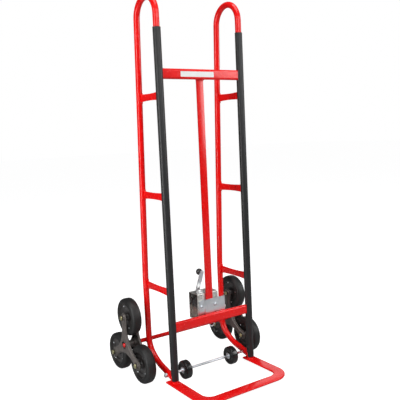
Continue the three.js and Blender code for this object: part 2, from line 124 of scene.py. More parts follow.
def named(name):
    """Names the newest primitive and settles its place into its mesh."""
    piece = bpy.context.object
    piece.name = name
    piece.data.name = name
    bpy.ops.object.transform_apply(location=True, rotation=True, scale=True)
    return piece


def pick(kind, rule):
    """In edit mode, selects the faces or edges that pass a rule, and nothing else."""
    bpy.ops.mesh.select_mode(type=kind)
    bpy.ops.mesh.select_all(action="DESELECT")
    mesh = bmesh.from_edit_mesh(bpy.context.object.data)
    parts = {"VERT": mesh.verts, "EDGE": mesh.edges, "FACE": mesh.faces}[kind]
    for part in parts:
        if rule(part):
            part.select_set(True)
    bmesh.update_edit_mesh(bpy.context.object.data)


def runs_along(edge, axis):
    """True for an edge that lies along an axis."""
    run = (edge.verts[1].co - edge.verts[0].co).normalized()
    return abs(run.dot(axis)) > 0.99


def block(name, low, high):
    """A box between two corners, left in object mode."""
    deselect_all()
    low = Vector(low)
    high = Vector(high)
    bpy.ops.mesh.primitive_cube_add(size=1, location=(low + high) / 2, scale=high - low)
    return named(name)


def rod(name, start, end, radius, sides=32):
    """A cylinder between two points on one axis."""
    deselect_all()
    run = Vector(end) - Vector(start)
    turn = run.to_track_quat("Z", "Y").to_euler()
    bpy.ops.mesh.primitive_cylinder_add(
        vertices=sides, radius=radius, depth=run.length,
        location=(Vector(start) + Vector(end)) / 2, rotation=turn)
    return named(name)


def modify(piece, kind, **settings):
    """Adds a modifier, sets it and applies it."""
    only(piece)
    bpy.ops.object.modifier_add(type=kind)
    modifier = piece.modifiers[-1]
    for name, value in settings.items():
        setattr(modifier, name, value)
    bpy.ops.object.modifier_apply(modifier=modifier.name)
    return piece


def boolean(piece, operation, *others):
    """Cuts or joins other solids, which are used up."""
    for other in others:
        modify(piece, "BOOLEAN", operation=operation, solver="EXACT", object=other)
        discard(other)
    return piece


def cut(piece, *others):
    return boolean(piece, "DIFFERENCE", *others)


def fuse(piece, *others):
    return boolean(piece, "UNION", *others)


def gather(piece, *others):
    """Joins loose solids into one piece."""
    only(piece)
    for other in others:
        other.select_set(True)
    bpy.ops.object.join()
    return piece


def ease_edges(piece, width, segments=2, angle=30):
    """Rounds the edges that are sharper than an angle in degrees."""
    return modify(piece, "BEVEL", width=width, segments=segments, limit_method="ANGLE",
                  angle_limit=math.radians(angle))


def give_wall(piece, thickness, side=-1):
    """Gives a shell its wall: -1 behind its faces, 0 half on each side of them."""
    return modify(piece, "SOLIDIFY", thickness=thickness, offset=side, use_even_offset=True)


def face_outwards(piece, merge=1e-6):
    edit(piece)
    bpy.ops.mesh.remove_doubles(threshold=merge)
    bpy.ops.mesh.normals_make_consistent(inside=False)
    bpy.ops.object.mode_set(mode="OBJECT")
    return piece


def copied(piece, name, offset=(0, 0, 0)):
    """A copy with its own mesh, moved by an offset."""
    only(piece)
    bpy.ops.object.duplicate(linked=False)
    copy = bpy.context.object
    copy.name = name
    copy.data.name = name
    edit(copy)
    bpy.ops.transform.translate(value=offset)
    bpy.ops.object.mode_set(mode="OBJECT")
    return copy


def mirrored(piece, name, offset=(0, 0, 0), about=0):
    """A copy of the other hand, mirrored about a plane across X."""
    copy = copied(piece, name, offset)
    edit(copy)
    bpy.ops.transform.resize(value=(-1, 1, 1), center_override=(about, 0, 0))
    bpy.ops.mesh.flip_normals()
    bpy.ops.object.mode_set(mode="OBJECT")
    return copy


def turned_by(piece, degrees, axis, centre):
    """Turns a piece right-handed about an axis through a point."""
    only(piece)
    spin = Matrix.Rotation(math.radians(degrees), 4, axis)
    piece.matrix_world = Matrix.Translation(centre) @ spin @ Matrix.Translation(-centre)
    bpy.ops.object.transform_apply(location=True, rotation=True, scale=True)
    return piece


class Board:
    """A drawing board: a plane in space with two directions to measure along."""

    def __init__(self, origin, across, up):
        self.origin = Vector(origin)
        self.across = Vector(across)
        self.up = Vector(up)
        self.normal = self.across.cross(self.up)

    def point(self, u, v):
        return self.origin + self.across * u + self.up * v


def dot(name, place):
    """One vertex, in edit mode and selected."""
    deselect_all()
    bpy.ops.mesh.primitive_plane_add(size=MM, location=place)
    piece = named(name)
    edit(piece)
    bpy.ops.mesh.merge(type="CENTER")
    return piece


def draw(name, board, start, moves):
    """A chain of edges. A move is a point, or (centre u, centre v, degrees, steps) for an arc."""
    piece = dot(name, board.point(*start))
    at = Vector(start)
    for move in moves:
        if len(move) == 2:
            goal = Vector(move)
            step = board.point(*goal) - board.point(*at)
            bpy.ops.mesh.extrude_vertices_move(TRANSFORM_OT_translate={"value": step})
        else:
            u, v, degrees, steps = move
            centre = Vector((u, v))
            bpy.ops.mesh.spin(
                steps=steps, angle=-math.radians(degrees), center=board.point(u, v), axis=board.normal)
            goal = centre + Matrix.Rotation(math.radians(degrees), 2) @ (at - centre)
        at = goal
    return piece


def plate(name, board, start, moves, depth):
    """A closed outline given a thickness along the board's normal."""
    piece = draw(name, board, start, moves)
    everything()
    bpy.ops.mesh.remove_doubles(threshold=1e-6)
    bpy.ops.mesh.edge_face_add()
    extrude(board.normal * depth)
    return face_outwards(piece)


def lathe(name, centre, axis, start, moves, steps=48):
    """A profile of (station, radius) points turned about an axis."""
    up = Y if abs(axis.dot(Z)) > 0.5 else Z
    piece = draw(name, Board(centre, axis, up), start, moves)
    everything()
    bpy.ops.mesh.spin(steps=steps, angle=2 * math.pi, center=centre, axis=axis)
    return face_outwards(piece)


class Bender:
    """Draws out the selected edges the way a bender feeds and bends a tube."""

    def __init__(self, place, heading, axis):
        self.place = Vector(place)
        self.heading = Vector(heading).normalized()
        self.axis = Vector(axis)

    def feed(self, length):
        step = self.heading * length
        extrude(step)
        self.place = self.place + step

    def bend(self, radius, degrees, steps):
        inward = self.axis.cross(self.heading) * math.copysign(radius, degrees)
        centre = self.place + inward
        bpy.ops.mesh.spin(steps=steps, angle=-math.radians(degrees), center=centre, axis=self.axis)
        turn = Matrix.Rotation(math.radians(degrees), 3, self.axis)
        self.place = centre - turn @ inward
        self.heading = turn @ self.heading


def ring_of_edges(name, place, normal, radius, sides):
    deselect_all()
    turn = Vector(normal).to_track_quat("Z", "Y").to_euler()
    bpy.ops.mesh.primitive_circle_add(
        vertices=sides, radius=radius, fill_type="NOTHING", location=place, rotation=turn)
    piece = named(name)
    edit(piece)
    return piece


def cap_ends(piece):
    everything()
    bpy.ops.mesh.fill_holes(sides=0)
    return face_outwards(piece)


def fit_out(piece, finish, body, *nodes, slot="its own", smooth=35):
    """Smooths and paints a finished piece, and hangs it on its body in place of its CAD nodes."""
    only(piece)
    bpy.ops.object.shade_smooth_by_angle(angle=math.radians(smooth))
    piece.data.materials.clear()
    piece.data.materials.append(finish_of(finish))
    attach(piece, body)
    if nodes:
        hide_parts(*nodes)
    return piece


def both_hands(piece, noun, finish, node):
    """Fits out a left-hand piece and its mirror image."""
    for hand, made in (("left", piece), ("right", mirrored(piece, f"right_{noun}"))):
        fit_out(made, finish, "root", f"{hand}_{node}")


# ---------- finishes ----------
class Recipe:
    """A material under way: its shader and the nodes that feed it, on the piece's own coordinates."""

    def __init__(self, name):
        self.material = bpy.data.materials.new(f"{name}_finish")
        self.material.use_nodes = True
        self.tree = self.material.node_tree
        self.shader = self.tree.nodes["Principled BSDF"]
        self.place = self.tree.nodes.new("ShaderNodeTexCoord").outputs["Object"]

    def set(self, **numbers):
        for name, value in numbers.items():
            title = name.replace("_", " ").title().replace("Ior", "IOR")
            self.shader.inputs[title].default_value = value

    def node(self, kind, links, **settings):
        made = self.tree.nodes.new(kind)
        for name, value in settings.items():
            setattr(made, name, value)
        for socket, value in links.items():
            if isinstance(value, bpy.types.NodeSocket):
                self.tree.links.new(value, made.inputs[socket])
            else:
                made.inputs[socket].default_value = value
        return made

    def stretched(self, scale):
        return self.node("ShaderNodeMapping", {"Vector": self.place, "Scale": scale}).outputs["Vector"]

    def noise(self, scale, detail=3.0, roughness=0.55, vector=None):
        links = {"Vector": vector or self.place, "Scale": scale, "Detail": detail}
        links["Roughness"] = roughness
        return self.node("ShaderNodeTexNoise", links).outputs["Fac"]

    def cells(self, scale, output):
        links = {"Vector": self.place, "Scale": scale}
        return self.node("ShaderNodeTexVoronoi", links).outputs[output]

    def wave(self, scale, direction):
        links = {"Vector": self.place, "Scale": scale}
        return self.node("ShaderNodeTexWave", links, bands_direction=direction).outputs["Fac"]

    def spread(self, value, low, high, start=0.3, end=0.7):
        """Maps a pattern's values from start..end to low..high."""
        links = {"Value": value, "From Min": start, "From Max": end, "To Min": low, "To Max": high}
        return self.node("ShaderNodeMapRange", links).outputs["Result"]

    def blend(self, amount, first, second):
        """Mixes two colours, each one a colour or a socket."""
        made = self.node("ShaderNodeMix", {0: amount}, data_type="RGBA")
        for socket, colour in ((made.inputs[6], first), (made.inputs[7], second)):
            if isinstance(colour, bpy.types.NodeSocket):
                self.tree.links.new(colour, socket)
            else:
                socket.default_value = (*colour[:3], 1)
        return made.outputs[2]

    def height(self):
        return self.node("ShaderNodeSeparateXYZ", {"Vector": self.place}).outputs["Z"]

    def feed(self, name, value):
        self.tree.links.new(value, self.shader.inputs[name])

    def grain(self, *layers):
        """Stacks bump layers of (height pattern, depth in metres)."""
        normal = None
        for pattern, depth in layers:
            links = {"Height": pattern, "Distance": depth, "Strength": 1.0}
            if normal is not None:
                links["Normal"] = normal
            normal = self.node("ShaderNodeBump", links).outputs["Normal"]
        self.feed("Normal", normal)

    def coat(self, colour, shades, mottle, roughness, gloss, *grains, span=(0.3, 0.7), **numbers):
        """The usual finish: a colour mottled between two shades, an uneven gloss and a fine grain."""
        dark, light = (shade(colour, factor) for factor in shades)
        self.feed("Base Color", self.blend(self.spread(mottle, 0, 1, *span), dark, light))
        self.feed("Roughness", self.spread(gloss, *roughness, *span))
        self.grain(*grains)
        self.set(**numbers)


def shade(colour, factor):
    """A colour darkened or lightened by one factor, or by one for each channel."""
    factors = factor if isinstance(factor, tuple) else (factor,) * 3
    return tuple(min(1, channel * each) for channel, each in zip(colour, factors))


def red_paint(recipe, tones):
    """Glossy powder coat with a faint orange peel, and a little dust and scuffing near the floor."""
    worn_red = (0.42, 0.07, 0.05)
    worn_height = 0.035
    clouds = recipe.noise(9, 2)
    body = recipe.blend(recipe.spread(clouds, 0, 1), shade(tones.paint, 0.9), shade(tones.paint, 1.05))
    low = recipe.spread(recipe.height(), 1, 0, 0, worn_height)
    scuffs = recipe.spread(recipe.noise(160, 6, 0.7), 0, 1, 0.62, 0.7)
    worn = recipe.node("ShaderNodeMath", {0: low, 1: scuffs}, operation="MULTIPLY").outputs[0]
    recipe.feed("Base Color", recipe.blend(worn, body, worn_red))
    recipe.feed("Roughness", recipe.spread(recipe.noise(60, 4), 0.2, 0.3))
    recipe.grain((recipe.noise(520, 1), 0.05 * MM), (recipe.noise(38, 1), 0.1 * MM))
    recipe.set(coat_weight=0.22, coat_roughness=0.14, specular_ior_level=0.35)


def black_vinyl(recipe, tones):
    """Extruded vinyl: fine pebbling, with faint drawing lines along its length."""
    lines = recipe.noise(1, 3, 0.6, recipe.stretched((900, 900, 3)))
    recipe.coat(tones.vinyl, (0.8, 1.25), recipe.noise(70, 4), (0.4, 0.54), lines,
                (recipe.noise(1500, 2), 0.04 * MM), (lines, 0.06 * MM), specular_ior_level=0.55)


def black_tyre(recipe, tones):
    """Moulded rubber, matt and dusty in places."""
    dust = recipe.noise(26, 6, 0.65)
    patches = recipe.spread(dust, 0.3, 0.7, 0.45, 0.75)
    recipe.coat(tones.rubber, (1, 2.1), patches, (0.4, 0.62), dust,
                (recipe.noise(1100, 3), 0.08 * MM), (recipe.noise(190, 2), 0.12 * MM))


def heel_tread(recipe, tones):
    """Hard black rubber with a turned sheen."""
    rings = recipe.noise(1, 2, 0.5, recipe.stretched((1400, 40, 40)))
    recipe.coat(tones.rubber, (1, 1.5), recipe.noise(40, 4), (0.16, 0.28), rings,
                (rings, 0.05 * MM), (recipe.noise(900, 2), 0.04 * MM))


def black_rim(recipe, tones):
    """Pressed rim in brown-black enamel."""
    recipe.coat(tones.rim, (1, 1.7), recipe.noise(45, 3), (0.26, 0.4), recipe.noise(130, 4),
                (recipe.noise(600, 2), 0.06 * MM), coat_weight=0.2, coat_roughness=0.2)


def dark_casting(recipe, tones):
    """Grey-brown satin casting with a sand-cast grain and a darker bloom in its hollows."""
    recipe.coat(tones.casting, (0.72, 1.2), recipe.noise(30, 5, 0.6),
                (0.36, 0.52), recipe.noise(110, 4),
                (recipe.noise(750, 4, 0.6), 0.16 * MM), (recipe.noise(70, 2), 0.2 * MM), metallic=0.3)


def bright_zinc(recipe, tones):
    """Plated steel: cloudy roughness and faint rolling lines."""
    recipe.coat(tones.zinc, (0.85, 1.1), recipe.noise(14, 2), (0.3, 0.48), recipe.noise(55, 5, 0.6),
                (recipe.noise(420, 3), 0.04 * MM), (recipe.noise(60, 2), 0.08 * MM), metallic=1.0)


def yellow_zinc(recipe, tones):
    """Yellow passivated zinc with a greenish bloom."""
    greenish = (0.85, 1.02, 0.9)
    recipe.coat(tones.yellow, (greenish, 1.12), recipe.noise(90, 3), (0.22, 0.38), recipe.noise(200, 3),
                (recipe.noise(700, 2), 0.03 * MM), metallic=1.0)


def galvanised(recipe, tones):
    """Hot-dipped sheet: crystal spangles, each with its own tone and gloss."""
    spangle = recipe.cells(130, "Color")
    tone = recipe.node("ShaderNodeSeparateColor", {"Color": spangle}).outputs[0]
    recipe.coat(tones.sheet, (0.78, 1.12), tone, (0.26, 0.46), tone,
                (tone, 0.03 * MM), (recipe.noise(500, 3), 0.04 * MM), span=(0, 1), metallic=1.0)


def webbing(recipe, tones):
    """Woven strap: ribs across it and along it."""
    ribs = recipe.wave(260.0, "Y")
    picks = recipe.wave(170.0, "DIAGONAL")
    recipe.coat(tones.rubber, (0.8, 2.4), picks, (0.7, 0.92), ribs,
                (ribs, 0.15 * MM), (picks, 0.1 * MM), span=(0, 1), sheen_weight=0.3)


def black_knob(recipe, tones):
    """Polished black moulding with a faint swirl in its surface."""
    swirl = recipe.noise(120, 2)
    recipe.coat(tones.rubber, (0.6, 1.2), swirl, (0.1, 0.17), swirl,
                (recipe.noise(240, 1), 0.03 * MM), coat_weight=0.5, coat_roughness=0.05)


def blank_label(recipe, tones):
    """A blank white sticker, slightly yellowed and wavy."""
    recipe.coat(tones.label, (1, 0.93), recipe.noise(30, 3), (0.3, 0.42), recipe.noise(90, 2),
                (recipe.noise(60, 2), 0.06 * MM))


def blackened_steel(recipe, tones):
    """Oiled dark washers."""
    oil = recipe.noise(160, 4)
    recipe.coat(tones.casting, (0.4, 0.8), oil, (0.28, 0.45), oil,
                (recipe.noise(600, 2), 0.04 * MM), metallic=0.8)


FINISHES = {mix.__name__: mix for mix in (
    red_paint, black_vinyl, black_tyre, heel_tread, black_rim, dark_casting, bright_zinc, yellow_zinc,
    galvanised, webbing, black_knob, blank_label, blackened_steel)}


def finish_of(name):
    """The material of that name, mixed the first time that it is asked for."""
    found = bpy.data.materials.get(f"{name}_finish")
    if found is None:
        recipe = Recipe(name)
        FINISHES[name](recipe, bpy.context.scene.trolley_tones)
        found = recipe.material
    return found


# ---------- sizes and colours that a user would change ----------
def length(label, millimetres, text):
    return FloatProperty(name=label, description=text, default=millimetres * MM, unit="LENGTH")


def angle(label, degrees, text):
    return FloatProperty(name=label, description=text, default=math.radians(degrees), subtype="ANGLE")


def count(label, number, text):
    return IntProperty(name=label, description=text, default=number, min=2, max=24)


class TROLLEY_PG_tubes(bpy.types.PropertyGroup):
    radius: length("Tube radius", 12.5, "Outer radius of the side tubes")
    grip_radius: length("Grip bend", 74.7, "Centre-line radius of the bent grips")
    kink: length("Rear leg kink", 403.5, "Height where the rear leg turns upright")
    heel_start: length("Heel start", 151.5, "Height where the heel bend starts")
    heel_radius: length("Heel bend", 80, "Centre-line radius of the tight part of the heel")
    heel_turn: angle("Heel turn", 52, "Angle turned in the tight part of the heel")
    sweep_radius: length("Sweep bend", 200, "Centre-line radius of the wide part of the heel")
    sweep_turn: angle("Sweep turn", 24, "Angle turned in the wide part of the heel")
    bar_corner: length("Cross bar corner", 8, "Corner radius of the cross bars")
    sleeve_radius: length("Sleeve radius", 15.5, "Outer radius of the vinyl sleeves")
    sleeve_wall: length("Sleeve wall", 2.6, "Wall of the vinyl sleeves")
    toe_corner: length("Toe corner", 59, "Centre-line radius of the corners of the toe")
    waist: length("Bracket waist", 3.5, "How far the brackets draw in at mid length")
    bead: length("Weld bead", 2.6, "Radius of the weld beads")


class TROLLEY_PG_clusters(bpy.types.PropertyGroup):
    orbit: length("Wheel orbit", 117, "Distance of the wheel bolts from the main axle")
    arm_end: length("Arm end", 20, "Radius of the round arm ends")
    waist: length("Arm waist", 38, "Distance of the hollows from the main axle")
    border: length("Border", 5, "Width of the flat border round a spider")
    step: length("Step", 6.5, "Height of the raised middle of a spider above its border")
    wall: length("Spider wall", 4, "Wall of the spiders")
    rivets: count("Rivets", 4, "Rivets on each side of a rim")
    rivet_orbit: length("Rivet orbit", 46, "Distance of the rivets from the wheel's centre")


class TROLLEY_PG_winder(bpy.types.PropertyGroup):
    wall: length("Housing wall", 2, "Sheet of the winder's housing")
    plate: length("Plate", 2.3, "Thickness of the winder's plate")
    strap: length("Strap", 1.5, "Thickness of the strap on the spool")
    teeth: count("Teeth", 12, "Teeth of the ratchet wheel")
    crank_length: length("Crank", 121, "Distance from the spool to the knob")
    crank_angle: angle("Crank angle", 71, "Angle of the crank above the horizontal")


def tone(label, red, green, blue):
    return FloatVectorProperty(
        name=label, description=f"{label} colour", subtype="COLOR", default=(red, green, blue),
        min=0, max=1)


class TROLLEY_PG_tones(bpy.types.PropertyGroup):
    paint: tone("Paint", 0.87, 0.002, 0.002)
    vinyl: tone("Vinyl", 0.0085, 0.009, 0.010)
    rubber: tone("Rubber", 0.008, 0.008, 0.008)
    rim: tone("Rim", 0.011, 0.009, 0.0085)
    casting: tone("Casting", 0.125, 0.110, 0.102)
    zinc: tone("Zinc", 0.80, 0.84, 0.88)
    yellow: tone("Yellow zinc", 0.55, 0.48, 0.29)
    sheet: tone("Galvanised sheet", 0.82, 0.81, 0.77)
    label: tone("Label", 0.86, 0.86, 0.85)
    floor: tone("Floor", 0.5, 0.5, 0.5)


class TROLLEY_PG_studio(bpy.types.PropertyGroup):
    eye: FloatVectorProperty(
        name="Camera", description="Place of the camera", subtype="TRANSLATION", unit="LENGTH",
        default=(-1.3157, -1.9801, 1.0004))
    yaw: angle("Yaw", -33.98, "Turn of the camera about the vertical")
    pitch: angle("Pitch", 6.6, "How far the camera looks down")
    roll: angle("Roll", -2.64, "Turn of the camera about its own axis")
    lens: FloatProperty(
        name="Lens", description="Focal length on a 36 mm sensor", default=51.91,
        subtype="DISTANCE_CAMERA")
    world: FloatProperty(
        name="Surroundings", description="Strength of the even light all round", default=0.12, min=0)


# ---------- the welded frame ----------
RAIL_X = middle("right_side_tube").x
AXLE = middle("main_axle")
ROD = middle("heel_rod")


def rail_y():
    """Depth of the front rails' centre lines."""
    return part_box("left_side_tube")[0].y + bpy.context.scene.trolley_tubes.radius


def rear_y():
    """Depth of the rear legs' centre lines below the kink."""
    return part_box("left_side_tube")[1].y - bpy.context.scene.trolley_tubes.radius


def grip_height():
    """Height of the middle of the grip bend."""
    tubes = bpy.context.scene.trolley_tubes
    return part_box("left_side_tube")[1].z - tubes.radius - tubes.grip_radius


def leg_lean():
    """Angle by which the rear leg leans in above the kink, in degrees."""
    tubes = bpy.context.scene.trolley_tubes
    run = rear_y() - rail_y() - 2 * tubes.grip_radius
    return math.degrees(math.atan2(run, grip_height() - tubes.kink))


def rear_leg_y(height):
    """Depth of the rear leg's centre line at a height."""
    kink = bpy.context.scene.trolley_tubes.kink
    return rear_y() - max(0, height - kink) * math.tan(math.radians(leg_lean()))


def heel_slope():
    """Angle turned in the whole heel."""
    tubes = bpy.context.scene.trolley_tubes
    return tubes.heel_turn + tubes.sweep_turn


def heel_z(y):
    """Height of the centre line of the heel's straight end at a depth."""
    tubes = bpy.context.scene.trolley_tubes
    tight, whole = tubes.heel_turn, heel_slope()
    step = tubes.heel_radius - tubes.sweep_radius
    end_y = rear_y() - tubes.heel_radius + step * math.cos(tight)
    end_y += tubes.sweep_radius * math.cos(whole)
    end_z = tubes.heel_start - step * math.sin(tight) - tubes.sweep_radius * math.sin(whole)
    return end_z - (end_y - y) / math.tan(whole)


class TROLLEY_OT_side_tubes(bpy.types.Operator):
    """Bend the two side tubes: up the rail, over the grip, down the rear leg and round the heel"""
    bl_idname = "trolley.side_tubes"
    bl_label = "Side tubes"

    def execute(self, context):
        tubes = context.scene.trolley_tubes
        lean = leg_lean()
        kink_radius = 150 * MM
        easing = kink_radius * math.tan(math.radians(lean / 2))
        let_in = 2 * MM
        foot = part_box("left_side_tube")[0].z
        start = Vector((-RAIL_X, rail_y(), foot))
        tube = ring_of_edges("left_bent_tube", start, Z, tubes.radius, 36)
        bender = Bender(start, Z, X)
        bender.feed(grip_height() - foot)
        bender.bend(tubes.grip_radius, lean - 180, 28)
        bender.feed((bender.place.z - tubes.kink) / math.cos(math.radians(lean)) - easing)
        bender.bend(kink_radius, -lean, 3)
        bender.feed(bender.place.z - tubes.heel_start)
        bender.bend(tubes.heel_radius, -math.degrees(tubes.heel_turn), 14)
        bender.bend(tubes.sweep_radius, -math.degrees(tubes.sweep_turn), 10)
        bender.feed((bender.place.y - rail_y() - let_in) / -bender.heading.y)
        both_hands(cap_ends(tube), "bent_tube", "red_paint", "side_tube")
        return {"FINISHED"}


class TROLLEY_OT_rail_sleeves(bpy.types.Operator):
    """Form the vinyl sleeves that clip over the front of the rails"""
    bl_idname = "trolley.rail_sleeves"
    bl_label = "Rail sleeves"

    def execute(self, context):
        tubes = context.scene.trolley_tubes
        low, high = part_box("left_rail_sleeve")
        outer = tubes.sleeve_radius
        inner = outer - tubes.sleeve_wall
        back = high.y - rail_y()
        outer_lip = math.asin(back / outer)
        inner_lip = math.asin(back / inner)
        turn = 180 + 2 * math.degrees(outer_lip)
        turn_back = 180 + 2 * math.degrees(inner_lip)
        start = (outer * math.cos(outer_lip), back)
        sleeve = plate("left_vinyl_sleeve", Board((-RAIL_X, rail_y(), low.z), X, Y), start, [
            (0, 0, -turn, 40), (-inner * math.cos(inner_lip), back), (0, 0, turn_back, 32), start],
            high.z - low.z)
        ease_edges(sleeve, 0.8 * MM, 3, 50)
        room = Vector((1, 1, 1)) * WELD_GAP
        notches = []
        for level in ("upper", "lower"):
            bar_low, bar_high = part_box(f"{level}_crossbar")
            bar_low.x -= 10 * MM
            notches.append(block("notch", bar_low - room, bar_high + room))
        heel_low = Vector((low.x - MM, rail_y() - 1.5 * MM, low.z - MM))
        heel_high = Vector((high.x + MM, high.y + MM, low.z + 22 * MM))
        notches.append(block("notch", heel_low, heel_high))
        both_hands(cut(sleeve, *notches), "vinyl_sleeve", "black_vinyl", "rail_sleeve")
        return {"FINISHED"}


class TROLLEY_OT_side_brackets(bpy.types.Operator):
    """Shape the waisted plates between the rails and the rear legs"""
    bl_idname = "trolley.side_brackets"
    bl_label = "Side brackets"

    def execute(self, context):
        waist = context.scene.trolley_tubes.waist
        stations = 10
        let_in = Vector((0, 4 * MM, 0))
        for level in LEVELS:
            low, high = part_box(f"left_{level}_bracket")
            centre = (low + high) / 2
            half = (high.z - low.z) / 2
            run = high.y - low.y + 2 * let_in.y
            bracket = block(f"left_{level}_side_plate", low - let_in, high + let_in)
            edit(bracket)
            pick("EDGE", lambda edge: runs_along(edge, Y))
            bpy.ops.mesh.subdivide(number_cuts=stations - 1)
            for i in range(1, stations):
                here = low.y - let_in.y + run * i / stations
                draw_in = 1 - waist * math.sin(math.pi * i / stations) ** 0.8 / half
                pick("VERT", lambda vert: abs(vert.co.y - here) < MM)
                bpy.ops.transform.resize(value=(1, 1, draw_in), center_override=centre)
            ease_edges(bracket, 1.3 * MM, 3, 50)
            both_hands(bracket, f"{level}_side_plate", "red_paint", f"{level}_bracket")
        return {"FINISHED"}


class TROLLEY_OT_crossbars(bpy.types.Operator):
    """Form the two cross bars and the flat centre post behind them"""
    bl_idname = "trolley.crossbars"
    bl_label = "Cross bars and post"

    def execute(self, context):
        corner = context.scene.trolley_tubes.bar_corner
        let_in = Vector((5 * MM, 0, 0))
        for level in ("upper", "lower"):
            low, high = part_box(f"{level}_crossbar")
            bar = block(f"{level}_bar", low - let_in, high + let_in)
            edit(bar)
            pick("EDGE", lambda edge: runs_along(edge, X))
            bpy.ops.mesh.bevel(offset=corner, segments=8, affect="EDGES")
            fit_out(bar, "red_paint", "root", f"{level}_crossbar")
        low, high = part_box("centre_post")
        low.y -= WELD_GAP
        post = block("flat_post", low, high)
        ease_edges(post, 1.2 * MM, 4)
        fit_out(post, "red_paint", "root", "centre_post")
        return {"FINISHED"}


class TROLLEY_OT_toe(bpy.types.Operator):
    """Bend the flat bar of the toe into its U"""
    bl_idname = "trolley.toe"
    bl_label = "Toe"

    def execute(self, context):
        corner = context.scene.trolley_tubes.toe_corner
        low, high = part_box("toe_bar")
        width = 46 * MM
        section = block("toe_loop", (low.x, high.y, low.z), (low.x + width, high.y + MM, high.z))
        edit(section)
        pick("EDGE", lambda edge: runs_along(edge, Y))
        bpy.ops.mesh.bevel(offset=2.2 * MM, segments=4, affect="EDGES")
        pick("FACE", lambda face: face.calc_center_median().y > high.y + 0.1 * MM)
        bpy.ops.mesh.delete(type="FACE")
        bpy.ops.mesh.select_mode(type="EDGE")
        everything()
        bender = Bender((low.x + width / 2, high.y, 0), -Y, Z)
        leg = high.y - low.y - width / 2 - corner
        bender.feed(leg)
        bender.bend(corner, 90, 18)
        bender.feed(high.x - low.x - width - 2 * corner)
        bender.bend(corner, 90, 18)
        bender.feed(leg)
        fit_out(cap_ends(section), "red_paint", "root", "toe_bar")
        return {"FINISHED"}


def weld(name, paths):
    """Lays rippled beads along paths of points and melts each into one skin."""
    deselect_all()
    radius = bpy.context.scene.trolley_tubes.bead
    bpy.ops.mesh.primitive_ico_sphere_add(subdivisions=2, radius=radius, location=paths[0][0])
    beads = named(name)
    edit(beads)
    for path in paths:
        for point in path:
            bpy.ops.mesh.primitive_ico_sphere_add(subdivisions=2, radius=radius, location=point)
    modify(beads, "REMESH", mode="VOXEL", voxel_size=0.9 * MM)
    return fit_out(beads, "red_paint", "root", smooth=60)


BEAD_PITCH = 3.4 * MM


def straight_path(start, end):
    start = Vector(start)
    run = Vector(end) - start
    steps = max(1, round(run.length / BEAD_PITCH))
    return [start + run * i / steps for i in range(steps + 1)]


def ring_path(centre, first, second, degrees=360):
    """Points round an ellipse given by its two half axes."""
    radius = (first.length + second.length) / 2
    steps = max(4, round(radius * math.radians(degrees) / BEAD_PITCH))
    turns = [math.radians(degrees) * i / steps for i in range(steps + 1)]
    return [centre + first * math.cos(a) + second * math.sin(a) for a in turns]


class TROLLEY_OT_welds(bpy.types.Operator):
    """Lay the painted weld beads where the tubes, plates and bars meet"""
    bl_idname = "trolley.welds"
    bl_label = "Weld beads"

    def execute(self, context):
        for hand, side in HANDS.items():
            weld(f"{hand}_frame_welds", self.side_paths(hand, side))
        low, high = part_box("centre_post")
        paths = []
        overrun = X * 1.5 * MM
        for level, edge, out in (("upper", 0, 1), ("lower", 1, -1)):
            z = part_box(f"{level}_crossbar")[edge].z + out * 0.6 * MM
            left, right = Vector((low.x, low.y, z)), Vector((high.x, low.y, z))
            paths.append(straight_path(left - overrun, right + overrun))
        wire = 2.5 * MM
        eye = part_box("anchor_eye")
        for x in (eye[0].x + wire, eye[1].x - wire):
            leg = Vector((x, middle("anchor_eye").y, eye[1].z))
            paths.append(ring_path(leg, X * wire, Y * wire))
        weld("bar_welds", paths)
        return {"FINISHED"}

    def side_paths(self, hand, side):
        """Where the beads of one side tube run."""
        radius = bpy.context.scene.trolley_tubes.radius
        x = side * RAIL_X
        paths = []
        for level in LEVELS:
            low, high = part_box(f"{hand}_{level}_bracket")
            flare = 3 * MM
            for round_tube in (-36, 36):
                paths.append(self.seam(x, -1, round_tube, low.z - flare, high.z + flare))
            for round_tube in (-21, 21):
                paths.append(self.seam(x, -1, round_tube, low.z, high.z))
                paths.append(self.seam(x, 1, round_tube, low.z, high.z))
        paths.append(self.saddle(x))
        foot = Vector((x, rail_y(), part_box("toe_bar")[1].z + 0.5 * MM))
        paths.append(ring_path(foot, X * radius, Y * radius))
        off = 6.5 * MM
        reach = X * 8 * MM
        for above in (-off, off):
            seat = Vector((x, AXLE.y - off, AXLE.z + above))
            paths.append(straight_path(seat - reach, seat + reach))
        for level in ("upper", "lower"):
            low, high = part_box(f"{level}_crossbar")
            end = x - side * (radius - 0.5 * MM)
            y = high.y - MM
            inset = 5 * MM
            paths.append(straight_path((end, y, low.z + inset), (end, y, high.z - inset)))
        return paths

    def seam(self, x, face, round_tube, bottom, top):
        """Points up a tube at an angle round it: the rear leg's front (-1) or the rail's back (1)."""
        radius = bpy.context.scene.trolley_tubes.radius + WELD_GAP
        angle = math.radians(round_tube)
        points = []
        for z in (bottom, top):
            y = rear_leg_y(z) if face < 0 else rail_y()
            points.append((x + radius * math.sin(angle), y + face * radius * math.cos(angle), z))
        return straight_path(*points)

    def saddle(self, x):
        """Points round the joint of the heel and the rail, two tubes of one radius."""
        radius = bpy.context.scene.trolley_tubes.radius
        steps = 24
        points = []
        for i in range(steps + 1):
            angle = 2 * math.pi * i / steps
            y = rail_y() + radius * abs(math.sin(angle))
            rise = radius * math.sin(angle) / math.sin(heel_slope())
            points.append((x + radius * math.cos(angle), y, heel_z(y) + rise))
        return points


